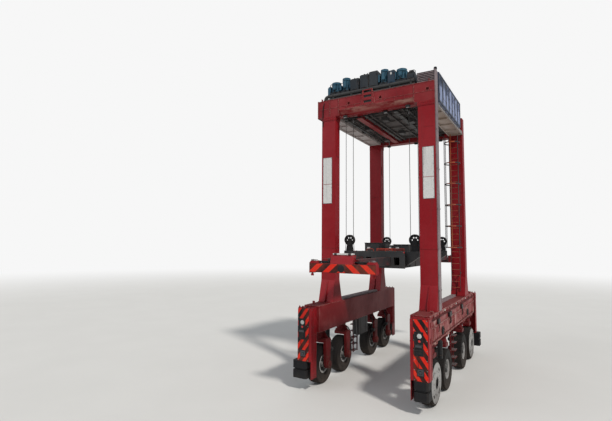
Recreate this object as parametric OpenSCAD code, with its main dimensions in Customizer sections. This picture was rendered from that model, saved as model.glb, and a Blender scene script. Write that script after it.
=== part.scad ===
// Straddle carrier, automated type with no cab: a tall portal on eight steered wheels
// that hoists a load between its legs with a telescopic spreader.
// The origin is on the ground, in the middle of the wheel set. +X is the right-hand side
// seen from the front, -Y is the front and +Z is up.

/* [Portal] */
// Clear width between the legs of the two sides
clear_w = 3540; // [3400:10:3800]
// Width of a leg across the machine
leg_w = 640; // [560:10:720]
// Depth of a leg along the machine
leg_d = 420; // [380:10:520]
// Distance of the front legs' middle ahead of the origin
leg_front = 2800; // [2700:10:2900]
// Distance of the rear legs' middle behind the origin
leg_rear = 2620; // [2560:10:2900]
// Height of the front cross beam's underside
portal_h = 10990; // [10400:10:11600]
// Depth of the front cross beam
beam_h = 745; // [650:5:850]
// How far the front cross beam stands out past the left leg
beam_overhang = 190; // [0:10:260]

/* [Side beams] */
// Height of the side beams' underside
sill_z = 2130; // [2110:10:2300]
// Height of a side beam
sill_h = 1000; // [850:10:1150]
// Width of a side beam
sill_w = 670; // [640:10:720]
// Half length of a side beam
sill_half = 4340; // [4320:10:4600]

/* [Wheels] */
// Outside diameter of a tyre
tyre_d = 1520; // [1400:10:1540]
// Width of a tyre
tyre_w = 430; // [380:10:450]
// Distance of the wheels' middle plane from the machine's middle
wheel_x = 2190; // [2170:5:2230]
// Distance of the outer axles from the origin
axle_outer = 3520; // [3420:10:3530]
// Distance of the inner axles from the origin
axle_inner = 1640; // [1550:10:1740]
// Diameter of a wheel's bead seat
rim_d = 636; // [560:2:700]
// Diameter of the round plates that cover the outer wheels
guard_d = 1340; // [1100:10:1380]

/* [Bumpers] */
// Distance of the hazard boards' face from the origin
bumper_y = 4760; // [4740:10:5000]
// Outer edge of a hazard board from the machine's middle
board_x = 2470; // [2440:10:2560]
// Width of a hazard board
board_w = 480; // [400:10:520]
// Height of a hazard board's lower edge
board_z = 1100; // [1000:10:1250]
// Height of a hazard board
board_h = 1970; // [1700:10:2000]

/* [Spreader] */
// Height of the spreader's corner pads above the ground as shown
spreader_z = 4530; // [4300:10:5200]
// Distance between the twistlocks along the machine when fully out
lock_span = 11985; // [11700:5:12300]
// Distance between the twistlocks across the machine
lock_gauge = 2259; // [2200:1:2300]
// Half length of the spreader's main frame
frame_half = 2700; // [2500:10:2700]
// Height of the spreader's main frame
frame_h = 630; // [560:10:700]
// Width of a telescopic beam
tele_w = 220; // [180:5:260]
// Height of a telescopic beam
tele_h = 300; // [240:5:320]

/* [Hoist] */
// Distance of the rope pairs from the machine's middle
rope_x = 1400; // [1340:5:1440]
// Distance of the front ropes ahead of the origin
rope_front = 2350; // [2250:10:2400]
// Distance of the rear ropes behind the origin
rope_rear = 2230; // [2150:10:2260]
// Diameter of a rope sheave at its groove
sheave_d = 340; // [280:10:360]
// Diameter of a hoist rope
rope_d = 24; // [16:1:30]
// Diameter of the rope drum
drum_d = 400; // [340:10:440]

/* [Housings] */
// Height of the right-hand power house
house_h = 1180; // [1000:10:1300]
// Width of the right-hand power house
house_w = 760; // [680:10:780]
// Height of the left-hand electrical house
cabinet_h = 570; // [450:10:640]

/* [Hidden] */
$fn = 48;

// Gap between pieces that rest on each other
seat = 0.3;
// Running clearance between pieces that move past each other
run = 6;
// Plate thicknesses: girder flanges, folded plate and thin sheet
flange = 28;
plate = 20;
sheet = 12;

leg_in = clear_w / 2;
leg_out = leg_in + leg_w;
sill_top = sill_z + sill_h;
sill_out = leg_in + sill_w;
front_face = -leg_front - leg_d / 2;
leg_rear_front = leg_rear - leg_d / 2;
rear_face = leg_rear + leg_d / 2;
beam_top = portal_h + beam_h;
rear_beam_z = portal_h - 160;
beam_back = -leg_front + leg_d / 2 + 80;
rail_z = portal_h - 90;
deck_z = portal_h + 60;
deck_t = 30;
deck_top = deck_z + deck_t;
house_top = deck_z + house_h;
house_out = leg_out + 40;
house_in = house_out - house_w;
house_y0 = beam_back + 10;
house_y1 = 1700;
grille_top = house_top - 80;

// Distance of each axle from the origin, front to rear, and whether its wheels have guards
AXLES = [[-axle_outer, true], [-axle_inner, false], [axle_inner, false], [axle_outer, true]];
wheel_z = tyre_d / 2;
pin_d = 220;
pin_gap = 1;
boss_z = sill_z - 80;
arm_in = tyre_w / 2 + 55;
arm_t = 120;
axle_d = 170;

frame_z = spreader_z + 90;
frame_top = frame_z + frame_h;
frame_w = 2140;
sheave_z = spreader_z + 1170;
sheave_rim = sheave_d / 2 + 2 * rope_d;
tele_z = frame_z + 90;
// Places of the telescopic beams across the machine: the front end's pair, then the rear's
TELE_X = [[-760, 400], [-400, 760]];

// Basic shapes

// A box between two corners
module box(low, high) {
    translate(low) cube(high - low);
}

// A flat outline in the length and height directions, as thick as from x0 to x1
module side_plate(x0, x1) {
    translate([x0, 0, 0]) rotate([90, 0, 90]) linear_extrude(x1 - x0) children();
}

// A flat outline in the width and height directions, as thick as from y0 to y1
module front_plate(y0, y1) {
    translate([0, y1, 0]) rotate([90, 0, 0]) linear_extrude(y1 - y0) children();
}

// A flat outline in the width and length directions, as thick as from z0 to z1
module flat_plate(z0, z1) {
    translate([0, 0, z0]) linear_extrude(z1 - z0) children();
}

// A round bar along X, from x0 to x1
module bar_x(d, x0, x1) {
    translate([x0, 0, 0]) rotate([0, 90, 0]) cylinder(d = d, h = x1 - x0);
}

// A round bar along Y, from y0 to y1
module bar_y(d, y0, y1) {
    translate([0, y1, 0]) rotate([90, 0, 0]) cylinder(d = d, h = y1 - y0);
}

// A flat slot with round ends, standing upright, about its middle
module slot(w, h) {
    square([w, h - w], center = true);
    for (s = [-1, 1]) translate([0, s * (h - w) / 2]) circle(d = w);
}

// Mirrors its children to the left when side is -1
module on_side(side) {
    if (side < 0) mirror([1, 0, 0]) children();
    else children();
}

// Draws its children at the front and, turned round, at the rear
module at_ends() {
    for (turn = [0, 180]) rotate([0, 0, turn]) children();
}

// A sheave's outline, from its bore to its rim, with a thin web and the rope's groove
module sheave_outline(bore, width) {
    groove_r = sheave_d / 2 - rope_d / 2 - seat;
    hub_r = bore / 2 + 26;
    web = width / 2 - 16;
    polygon([[bore / 2, -width / 2], [hub_r, -width / 2], [hub_r + 6, -web], [groove_r - 28, -web],
        [groove_r - 20, -width / 2], [sheave_rim, -width / 2], [sheave_rim, -rope_d / 2 - 6],
        [groove_r, -rope_d / 2 - 1], [groove_r, rope_d / 2 + 1], [sheave_rim, rope_d / 2 + 6],
        [sheave_rim, width / 2], [groove_r - 20, width / 2], [groove_r - 28, web],
        [hub_r + 6, web], [hub_r, width / 2], [bore / 2, width / 2]]);
}

// A sheave in the plane of the width and height directions, between two cheek plates
module sheave_block(x, y, z, base) {
    pin = 80;
    cheek = 0.42 * sheave_d;
    hole_r = 0.3 * sheave_d;
    translate([x, y, z]) {
        rotate([90, 0, 0]) difference() {
            rotate_extrude() sheave_outline(pin + 2, 56);
            for (a = [0 : 60 : 300]) rotate(a) translate([hole_r, 0, -40]) cylinder(d = 0.18 * sheave_d, h = 80);
        }
        bar_y(pin, -78, 78);
    }
    for (s = [-1, 1]) translate([0, y + s * 50 - 12, 0]) front_plate(0, 24) difference() {
        union() {
            translate([x, z]) circle(d = 150);
            polygon([[x - cheek, base], [x + cheek, base], [x + cheek, base + 50], [x + 74, z + 12],
                [x - 74, z + 12], [x - cheek, base + 50]]);
        }
        translate([x, z]) circle(d = pin);
    }
}

// Side beams: girders with recessed webs, a ledge, ribs and a bored bearing boss by each wheel

module side_beam(side) {
    ledge_z = sill_z + 0.55 * sill_h;
    web = sill_out - 26;
    rib_pitch = 840;
    color("firebrick") on_side(side) difference() {
        union() {
            box([leg_in, -sill_half, sill_z], [web, sill_half, sill_top]);
            for (z = [sill_z, sill_top - flange])
                box([web, -sill_half, z], [sill_out, sill_half, z + flange]);
            box([web, -sill_half, ledge_z], [sill_out + 20, sill_half, ledge_z + flange]);
            for (y = [-4.5 : 4.5])
                box([web, y * rib_pitch - 10, sill_z + flange], [sill_out, y * rib_pitch + 10, ledge_z]);
            for (y = [-sill_half, sill_half - plate])
                box([web, y, sill_z], [sill_out, y + plate, sill_top]);
            for (axle = AXLES) translate([wheel_x, axle[0], 0]) {
                translate([0, 0, boss_z]) cylinder(d = 480, h = sill_z - boss_z + 1);
                translate([0, 0, sill_z - 34]) cylinder(d = 580, h = 35);
            }
        }
        for (axle = AXLES)
            translate([wheel_x, axle[0], boss_z - 10]) cylinder(d = pin_d + 2 * pin_gap, h = 320);
        for (y = [-2, 0, 2]) side_plate(web - 30, web + 1)
            translate([y * rib_pitch, ledge_z + 240]) rotate(90) slot(120, 300);
    }
}

module side_beam_left() {
    side_beam(-1);
}

module side_beam_right() {
    side_beam(1);
}

// Legs: box columns that flare out fore and aft where they stand on the side beams

module leg(side, y, top) {
    flare = 240;
    flare_h = 900;
    collar = 14;
    half = leg_d / 2;
    color("firebrick") on_side(side) {
        side_plate(leg_in, leg_out)
            polygon([[y - half - flare, sill_top], [y + half + flare, sill_top],
                [y + half, sill_top + flare_h], [y + half, top],
                [y - half, top], [y - half, sill_top + flare_h]]);
        box([leg_in - collar, y - half - collar, top - 170], [leg_out, y + half + collar, top]);
        for (s = [-1, 1]) side_plate(leg_in + leg_w / 2 - 10, leg_in + leg_w / 2 + 10)
            polygon([[y + s * (half + flare), sill_top], [y + s * (half + flare + 110), sill_top],
                [y + s * (half + 30), sill_top + flare_h - 40], [y + s * half, sill_top + flare_h]]);
    }
}

module leg_front_left() {
    leg(-1, -leg_front, portal_h);
}

module leg_front_right() {
    leg(1, -leg_front, portal_h);
}

module leg_rear_left() {
    leg(-1, leg_rear, rear_beam_z);
}

module leg_rear_right() {
    leg(1, leg_rear, rear_beam_z);
}

// Cross beams over the legs

module cross_beam_front() {
    left_end = -leg_out - beam_overhang;
    bracket_x = -300;
    chamfer_end = leg_in - 170;
    hole_z = portal_h + 0.62 * beam_h;
    color("firebrick") {
        difference() {
            box([left_end, front_face, portal_h], [leg_out, beam_back, beam_top]);
            side_plate(-chamfer_end, chamfer_end)
                polygon([[front_face - 1, portal_h - 1], [front_face - 1, portal_h + 230],
                    [front_face, portal_h + 230], [front_face + 210, portal_h],
                    [front_face + 210, portal_h - 1]]);
            for (x = [-1150, 260, 2150])
                translate([x, front_face, hole_z]) bar_y(110, -1, 70);
        }
        box([left_end - plate, front_face - 18, portal_h - 18], [left_end, beam_back + 18, beam_top + 18]);
        for (x = [left_end + 560, -chamfer_end - plate - 10, chamfer_end + 10])
            box([x, front_face - 14, portal_h], [x + plate, front_face, beam_top]);
        front_plate(front_face - 30, front_face) difference() {
            polygon([[bracket_x - 300, portal_h + 250], [bracket_x + 340, portal_h + 250],
                [bracket_x + 230, beam_top + 150], [bracket_x - 210, beam_top + 150]]);
            for (z = [390, 610, 810]) translate([bracket_x + 12, portal_h + z]) square([340, 100], center = true);
        }
    }
}

module cross_beam_rear() {
    color("firebrick") {
        box([-leg_out, leg_rear_front, rear_beam_z], [leg_out, rear_face, beam_top]);
        for (z = [rear_beam_z + 200, beam_top - 150])
            box([-leg_out, rear_face, z], [leg_out, rear_face + 16, z + flange]);
        for (x = [-1620 : 810 : 1620])
            box([x - 10, rear_face, rear_beam_z + 200 + flange], [x + 10, rear_face + 16, beam_top - 150]);
    }
}

// Lengthwise beams that join the front and rear portals, and carry the housings

module top_beams() {
    y0 = beam_back;
    y1 = leg_rear_front;
    color("gainsboro") for (side = [-1, 1]) on_side(side) difference() {
        box([leg_in, y0, rail_z], [leg_out, y1, deck_z]);
        for (row = [0 : 4]) {
            y = y0 + (row + 0.5) * (y1 - y0) / 5;
            box([leg_in + 50, y - 430, rail_z - 1], [leg_out - 50, y + 430, rail_z + 60]);
        }
    }
}

module centre_beam() {
    beam_x = -880;
    y1 = leg_rear_front;
    color("firebrick") {
        box([beam_x - 80, beam_back, rail_z], [beam_x + 80, y1, deck_z]);
        box([beam_x - 120, beam_back, rail_z - 25], [beam_x + 120, y1, rail_z]);
    }
}

// Deck of thin plates on a grid of stiffeners, open where the ropes pass

module deck() {
    y0 = beam_back;
    y1 = leg_rear_front;
    rows = 5;
    slot_half = sheave_d / 2 + rope_d / 2 + 30;
    color("slategray") difference() {
        union() {
            box([-leg_in, y0, deck_z], [house_in, y1, deck_top]);
            for (x = [-1320, -420, 300, 1000])
                box([x - 20, y0, deck_z - 80], [x + 20, y1, deck_z]);
            for (row = [0 : rows - 1]) {
                y = y0 + (row + 0.5) * (y1 - y0) / rows;
                box([-leg_in, y - 20, deck_z - 80], [-960, y + 20, deck_z]);
                box([-800, y - 20, deck_z - 80], [house_in, y + 20, deck_z]);
            }
        }
        for (side = [-1, 1], y = [-rope_front, rope_rear])
            box([side * rope_x - slot_half, y - 34, deck_z - 90],
                [side * rope_x + slot_half, y + 34, deck_z + 90]);
    }
}

// Head sheaves that turn the ropes at the four corners of the deck

head_z = deck_top + 260;

module head_sheaves() {
    color("dimgray") for (side = [-1, 1], y = [-rope_front, rope_rear])
        sheave_block(side * rope_x, y, head_z, deck_top);
}

// Housings on the top: a hollow power house on the right, a low closed one on the left

module power_house() {
    wall = 50;
    panels = 7;
    pitch = (house_y1 - house_y0 - 60) / panels;
    color("lightslategray") {
        difference() {
            box([house_in, house_y0, deck_z], [house_out, house_y1, house_top]);
            box([house_in + wall, house_y0 + wall, deck_z + wall],
                [house_out - wall, house_y1 - wall, house_top - wall]);
            box([house_in + 100, house_y0 - 1, beam_top + 40],
                [leg_out - 40, house_y0 + wall + 1, grille_top - 40]);
        }
        for (i = [0 : panels - 1]) {
            y = house_y0 + 30 + i * pitch;
            box([house_out, y + 12, deck_z + 90], [house_out + 10, y + pitch - 12, house_top - 70]);
            if (i % 2 == 1)
                box([house_out + 10, y + 90, deck_z + 330], [house_out + 16, y + pitch - 90, deck_z + 700]);
        }
        for (y = [house_y0 + 900, house_y1 - 900])
            box([house_in + 130, y - 330, house_top], [house_out - 130, y + 330, house_top + 70]);
        translate([house_in + 200, house_y1 - 250, house_top]) cylinder(d = 150, h = 330);
    }
}

// Air intake of the power house, over the front cross beam
module intake_grille() {
    slats = 7;
    x0 = house_in + 60;
    x1 = leg_out;
    y0 = front_face + 60;
    y1 = house_y0 - seat;
    color("lightgray") {
        difference() {
            box([x0, y0, beam_top + seat], [x1, y1, grille_top]);
            box([x0 + 40, y0 - 1, beam_top + 40], [x1 - 40, y1 + 1, grille_top - 40]);
        }
        for (i = [0 : slats - 1]) {
            z = beam_top + 40 + (i + 0.5) * (grille_top - beam_top - 80) / slats;
            side_plate(x0 + 39, x1 - 39)
                polygon([[y0 + 8, z - 22], [y0 + 16, z - 30], [y0 + 78, z + 16], [y0 + 70, z + 24]]);
        }
    }
}

module engine_block() {
    floor_z = deck_z + 50;
    color("dimgray")
        box([house_in + 110, -1500, floor_z], [leg_out - 60, 700, floor_z + 850]);
}

module electrical_house() {
    y0 = beam_back + 60;
    y1 = 1500;
    x0 = -leg_out - 20;
    top = deck_z + cabinet_h;
    color("gainsboro") {
        side_plate(x0, -leg_in)
            polygon([[y0, deck_z], [y1, deck_z], [y1, top - 60], [y1 - 60, top], [y0 + 60, top],
                [y0, top - 60]]);
        for (y = [y0 + 700 : 1100 : y1 - 500])
            box([x0 + 110, y - 300, top], [-leg_in - 110, y + 300, top + 60]);
    }
}

// Hoist machinery over the front cross beam: upright motors on gearboxes and a pipe of
// cables in front, the grooved rope drum behind them

bed_t = 40;
bed_top = beam_top + bed_t;
machine_y = front_face + 390;
machine_d = 380;
gear_top = beam_top + 415;
drum_flange = drum_d + 90;
drum_y = machine_y + machine_d / 2 + 40 + drum_flange / 2;
drum_z = bed_top + drum_flange / 2 + 35;
drum_x0 = -1850;
drum_x1 = 1500;
drum_journal = 90;
bed_y1 = drum_y + 300;
// Upright motors: place across the machine, diameter, and height of the top over the beam
MOTORS = [[-1900, 430, 840], [-1420, 360, 960], [315, 330, 980], [1040, 430, 840]];
// Gearboxes and cabinets: edges across the machine, and height over the bed
CABINETS = [[-1160, -770, 785], [-720, -330, 870], [-310, 80, 930], [500, 810, 800], [1290, 1610, 530]];

// A bearing pedestal for the drum, with a round top
module pedestal(x) {
    side_plate(x, x + 60) difference() {
        union() {
            translate([drum_y, drum_z]) circle(d = 260);
            polygon([[drum_y - 200, bed_top], [drum_y + 200, bed_top], [drum_y + 128, drum_z],
                [drum_y - 128, drum_z]]);
        }
        translate([drum_y, drum_z]) circle(d = drum_journal + 2 * pin_gap);
    }
}

// A pipe of cables along the beam's front edge, bent down to the beam at its left end
module cable_pipe() {
    d = 140;
    bend = 130;
    x0 = -2290;
    pipe_y = front_face + 90;
    pipe_z = bed_top + 145;
    bar = [x0 + bend, 1640];
    translate([0, pipe_y, pipe_z]) {
        bar_x(d, bar[0] - 1, bar[1]);
        bar_x(d + 36, bar[1] - 30, bar[1]);
        translate([bar[0], 0, -bend]) rotate([90, 0, 0]) rotate(90) rotate_extrude(angle = 90)
            translate([bend, 0]) circle(d = d);
    }
    translate([x0, pipe_y, beam_top]) cylinder(d = d, h = pipe_z - bend - beam_top + 1);
    for (x = [-1900 : 850 : 1500])
        box([x - 30, pipe_y - 50, bed_top - 1], [x + 30, pipe_y + 50, pipe_z - 40]);
}

module hoist_bed() {
    color("dimgray") {
        box([-2200, front_face, beam_top], [house_in - 10, bed_y1, bed_top]);
        for (x = [drum_x0 - 66, drum_x1 + 6]) pedestal(x);
        for (x = [-960, 0, 860])
            box([x - 50, bed_y1 - 110, deck_top], [x + 50, bed_y1 - 10, beam_top + 1]);
        box([-960, bed_y1 - 80, beam_top - 160], [860, bed_y1 - 40, beam_top - 60]);
        cable_pipe();
    }
}

module hoist_drum() {
    groove = 40;
    grooves = floor((drum_x1 - drum_x0 - 120) / groove);
    r = drum_d / 2;
    color("dimgray") translate([0, drum_y, drum_z]) {
        translate([drum_x0 + 60, 0, 0]) rotate([0, 90, 0]) rotate_extrude()
            polygon([[0, 0], each [for (i = [0 : grooves - 1])
                each [[r - 12, groove * i], [r, groove * (i + 0.35)], [r, groove * (i + 0.65)]]],
                [r - 12, groove * grooves], [0, groove * grooves]]);
        for (x = [drum_x0 + 30, drum_x1 - 64]) bar_x(drum_flange, x, x + 34);
        bar_x(drum_journal, drum_x0 - 90, drum_x1 + 80);
    }
}

module hoist_motors() {
    fins = 18;
    cowl = 110;
    color("steelblue") for (motor = MOTORS) translate([motor[0], machine_y, beam_top]) {
        r = motor[1] / 2;
        low = gear_top - beam_top + seat;
        high = motor[2];
        translate([0, 0, low]) cylinder(r = r - 30, h = high - low - 10);
        translate([0, 0, low]) cylinder(r = r - 12, h = 40);
        translate([0, 0, high - cowl]) cylinder(r = r - 4, h = cowl - 14);
        translate([0, 0, high - 15]) cylinder(r1 = r - 4, r2 = r - 34, h = 15);
        for (i = [0 : fins - 1]) rotate(i * 360 / fins)
            box([r - 60, -6, low + 39], [r - 8, 6, high - cowl + 1]);
        box([-70, -r - 30, low + 90], [70, -r + 60, high - cowl - 40]);
    }
}

module hoist_cabinets() {
    y0 = machine_y - machine_d / 2;
    y1 = machine_y + machine_d / 2;
    color("dimgray") {
        for (cabinet = CABINETS) {
            box([cabinet[0], y0, bed_top + seat], [cabinet[1], y1, bed_top + cabinet[2] - 30]);
            box([cabinet[0] + 25, y0 + 25, bed_top + cabinet[2] - 31],
                [cabinet[1] - 25, y1 - 25, bed_top + cabinet[2]]);
        }
        for (motor = MOTORS) {
            half = motor[1] / 2;
            box([motor[0] - half - 15, y0 + 10, bed_top + seat], [motor[0] + half + 15, y1 - 10, gear_top - 40]);
            box([motor[0] - half + 20, y0 + 40, gear_top - 41], [motor[0] + half - 20, y1 - 40, gear_top]);
        }
    }
}

// Hoist ropes: two falls at each corner of the spreader

module hoist_ropes() {
    color("dimgray") for (side = [-1, 1], y = [-rope_front, rope_rear], fall = [-1, 1]) {
        top = fall * side > 0 ? head_z : deck_z - 80;
        translate([side * rope_x + fall * sheave_d / 2, y, sheave_z])
            cylinder(d = rope_d, h = top - sheave_z);
    }
}

// Bumpers at the four corners: folded columns behind striped boards, over black blocks

module bumper_columns() {
    x0 = board_x - board_w - 110;
    x1 = board_x + 30;
    y0 = -bumper_y + sheet;
    y1 = -sill_half;
    color("firebrick") at_ends() for (side = [-1, 1]) on_side(side) {
        difference() {
            flat_plate(board_z, board_z + board_h) polygon([[x0, y1], [x0, y0], [board_x, y0],
                [x1, y0 + 60], [x1, y1], [x1 - plate, y1], [x1 - plate, y0 + 70],
                [board_x - 10, y0 + plate], [x0 + plate, y0 + plate], [x0 + plate, y1]]);
            for (z = [0.64, 0.9]) side_plate(x1 - plate - 1, x1 + 1)
                translate([y0 + 210, board_z + z * board_h]) slot(80, 200);
        }
        box([x0 + plate, y0 + plate, board_z + board_h - plate], [x1 - plate, y1, board_z + board_h]);
        box([x0 + plate, y0 + plate, board_z], [x1 - plate, y1, board_z + plate]);
        box([x0, y0, 450], [x0 + plate, y1, board_z]);
    }
}

module hazard_boards() {
    color("orangered") at_ends() for (side = [-1, 1]) on_side(side)
        box([board_x - board_w, -bumper_y, board_z],
            [board_x, -bumper_y + sheet, board_z + board_h]);
}

// One black corner block with chamfered upright edges and a dark gap round its middle
module scanner_block(x0, x1) {
    y0 = -bumper_y - 40;
    y1 = -sill_half - 20;
    edge = 50;
    z0 = 460;
    mid = z0 + 0.46 * (board_z - z0);
    module outline(inset) {
        polygon([[x0 + inset, y1], [x0 + inset, y0 + inset + edge], [x0 + inset + edge, y0 + inset],
            [x1 - inset - edge, y0 + inset], [x1 - inset, y0 + inset + edge], [x1 - inset, y1]]);
    }
    flat_plate(z0, mid) outline(0);
    flat_plate(mid, mid + 70) outline(40);
    flat_plate(mid + 70, board_z - seat) outline(0);
}

module scanner_bumpers() {
    color("black") at_ends() {
        scanner_block(-board_x - 200, -board_x + 400);
        scanner_block(board_x - board_w, board_x);
    }
}

// Caged ladder up the right-hand rear leg, from the flare to the deck

module ladder() {
    x_mid = leg_in + 250;
    y_rung = leg_rear_front - 220;
    bottom = sill_top + 260;
    top = rear_beam_z - 60;
    cage_r = 360;
    cage_y = y_rung - 300;
    half = 200;
    color("dimgray") {
        for (s = [-1, 1])
            box([x_mid + s * half - 6, y_rung - 30, bottom], [x_mid + s * half + 6, y_rung + 30, top]);
        for (z = [bottom + 140 : 280 : top - 60])
            translate([0, y_rung, z]) bar_x(26, x_mid - half, x_mid + half);
        for (z = [bottom + 800 : 1500 : top - 100], s = [-1, 1])
            box([x_mid + s * half - 6, y_rung + 20, z], [x_mid + s * half + 6, leg_rear_front, z + 50]);
        for (z = [bottom + 2000 : 1000 : top]) flat_plate(z, z + 50) difference() {
            translate([x_mid, cage_y]) circle(r = cage_r + 6);
            translate([x_mid, cage_y]) circle(r = cage_r - 6);
            translate([x_mid - half, y_rung - 30]) square([2 * half, 200]);
        }
        for (a = [-90, -30, -150, 20, 160])
            translate([x_mid + (cage_r - 9) * cos(a), cage_y + (cage_r - 9) * sin(a), bottom + 2000])
                rotate(a) translate([-3, -20, 0]) cube([6, 40, top - bottom - 2000]);
    }
}

// Hanging steps between the middle wheels on each side

module access_steps() {
    step_y = 230;
    color("firebrick") for (side = [-1, 1]) on_side(side) {
        for (y = [-step_y, step_y - 16]) side_plate(sill_out - 250, sill_out - 190)
            translate([y, 480]) square([16, sill_z - 480]);
        for (z = [520 : 300 : 1900])
            box([sill_out - 260, -step_y + 16, z], [sill_out - 50, step_y - 16, z + 30]);
    }
}

module fuel_tank() {
    x0 = -leg_in - 330;
    x1 = -leg_in - 20;
    r = 70;
    color("dimgray") {
        translate([0, 0, sill_z - 760]) linear_extrude(760) {
            translate([x0, -560 + r]) square([x1 - x0, 1120 - 2 * r]);
            translate([x0 + r, -560]) square([x1 - x0 - 2 * r, 1120]);
            for (x = [x0 + r, x1 - r], y = [-560 + r, 560 - r]) translate([x, y]) circle(r = r);
        }
        for (y = [-300, 300])
            box([x0 - 8, y - 30, sill_z - 768], [x1 + 8, y + 30, sill_z]);
    }
}

module handrails() {
    post_y = rear_face - 60;
    post_h = 900;
    color("black") {
        for (x = [-1700 : 850 : 850])
            translate([x, post_y, beam_top]) cylinder(d = 42, h = post_h);
        for (z = [post_h / 2, post_h - 18])
            translate([0, post_y, beam_top + z]) bar_x(36, -1718, 868);
    }
}

module cable_duct() {
    color("lightgray") {
        box([leg_out, front_face + 30, sill_top], [leg_out + 40, front_face + 370, house_top - 40]);
        for (z = [sill_top + 700 : 1500 : portal_h])
            box([leg_out + 40, front_face + 10, z], [leg_out + 46, front_face + 390, z + 60]);
    }
}

// Blank plates on the front legs
module placards() {
    mid = leg_in + 0.57 * leg_w;
    height = 1950;
    color("whitesmoke") for (side = [-1, 1])
        front_plate(front_face - 6, front_face)
            translate([side * mid - 210, portal_h - 1790 - height]) square([420, height]);
}

// Spreader: main frame with four long pockets for the telescopic beams

module spreader_frame() {
    outrigger = rope_x + sheave_d / 2 + 24;
    color("dimgray") difference() {
        union() {
            front_plate(-frame_half, frame_half)
                polygon([[-frame_w / 2, frame_z], [frame_w / 2, frame_z],
                    [frame_w / 2, frame_top - 90], [frame_w / 2 - 90, frame_top],
                    [-frame_w / 2 + 90, frame_top], [-frame_w / 2, frame_top - 90]]);
            for (y = [-rope_front, rope_rear]) front_plate(y - 150, y + 150)
                polygon([[-frame_w / 2, frame_z + 60], [frame_w / 2, frame_z + 60],
                    [outrigger, frame_top - 200], [outrigger, frame_top],
                    [-outrigger, frame_top], [-outrigger, frame_top - 200]]);
            for (y = [-frame_half, frame_half - plate])
                box([-frame_w / 2 - 30, y, frame_z - 30], [frame_w / 2 + 30, y + plate, frame_top - 90]);
        }
        for (pair = TELE_X, x = pair)
            box([x - tele_w / 2 - run, -frame_half - 1, tele_z - seat],
                [x + tele_w / 2 + run, frame_half + 1, tele_z + tele_h + run]);
        for (y = [-1500 : 750 : 1500])
            box([-180, y - 220, frame_z - 1], [180, y + 220, frame_top + 1]);
    }
}

module spreader_sheaves() {
    color("dimgray") for (side = [-1, 1], y = [-rope_front, rope_rear])
        sheave_block(side * rope_x, y, sheave_z, frame_top);
}

module spreader_cabinets() {
    // Corners of each cabinet across and along the frame, and its height over the frame
    CABINETS = [[-900, -250, -1900, -700, 320], [230, 880, -1500, -100, 260],
        [-880, -240, 700, 1500, 220]];
    color("gainsboro") for (cabinet = CABINETS) {
        box([cabinet[0], cabinet[2], frame_top], [cabinet[1], cabinet[3], frame_top + cabinet[4]]);
        box([cabinet[0] - 20, cabinet[2] - 20, frame_top + cabinet[4]],
            [cabinet[1] + 20, cabinet[3] + 20, frame_top + cabinet[4] + 24]);
    }
}

// One telescopic end: a cross beam with corner boxes, a raised housing, twistlocks,
// a deep striped board and two long beams. The rear end is the same piece turned round.

module twistlock() {
    neck = 60;
    head_w = 104;
    head_l = 58;
    translate([0, 0, spreader_z - 30]) cylinder(d = neck, h = 31);
    translate([0, 0, spreader_z - 100]) linear_extrude(71)
        polygon([[-head_w / 2, -12], [-20, -head_l / 2], [20, -head_l / 2], [head_w / 2, -12],
            [head_w / 2, 12], [20, head_l / 2], [-20, head_l / 2], [-head_w / 2, 12]]);
}

module spreader_end() {
    y_lock = -lock_span / 2;
    half = lock_gauge / 2 + 89;
    inner = -1600;
    pad_y = 81;
    back = y_lock + 200;
    height = 320;
    top = spreader_z + height;
    color("firebrick") {
        box([-half, y_lock - pad_y + 14, spreader_z + 20], [half, back, top]);
        for (side = [-1, 1]) {
            box([side * lock_gauge / 2 - 89, y_lock - pad_y, spreader_z],
                [side * lock_gauge / 2 + 89, y_lock + 97, spreader_z + 21]);
            on_side(side) front_plate(y_lock - pad_y, back)
                polygon([[half - 330, top], [half, top], [half - 60, top + 90], [half - 260, top + 90]]);
        }
        side_plate(-420, 420) polygon([[y_lock - pad_y + 20, top], [back, top], [back, top + 300],
            [y_lock + 60, top + 300]]);
    }
    color("dimgray") for (x = TELE_X[0]) {
        box([x - tele_w / 2, back - 1, tele_z], [x + tele_w / 2, inner, tele_z + tele_h]);
        box([x - tele_w / 2 - 60, back - 1, spreader_z + 60], [x + tele_w / 2 + 60, back + 16, top]);
    }
    color("silver") for (side = [-1, 1]) translate([side * lock_gauge / 2, y_lock, 0]) twistlock();
}

module spreader_end_front() {
    spreader_end();
}

module spreader_end_rear() {
    rotate([0, 0, 180]) spreader_end();
}

// Running gear

// Moves a right-hand piece drawn about its wheel's middle to its axle and side
module at_wheel(axle, side) {
    translate([0, AXLES[axle][0], 0]) on_side(side) translate([wheel_x, 0, 0]) children();
}

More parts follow.
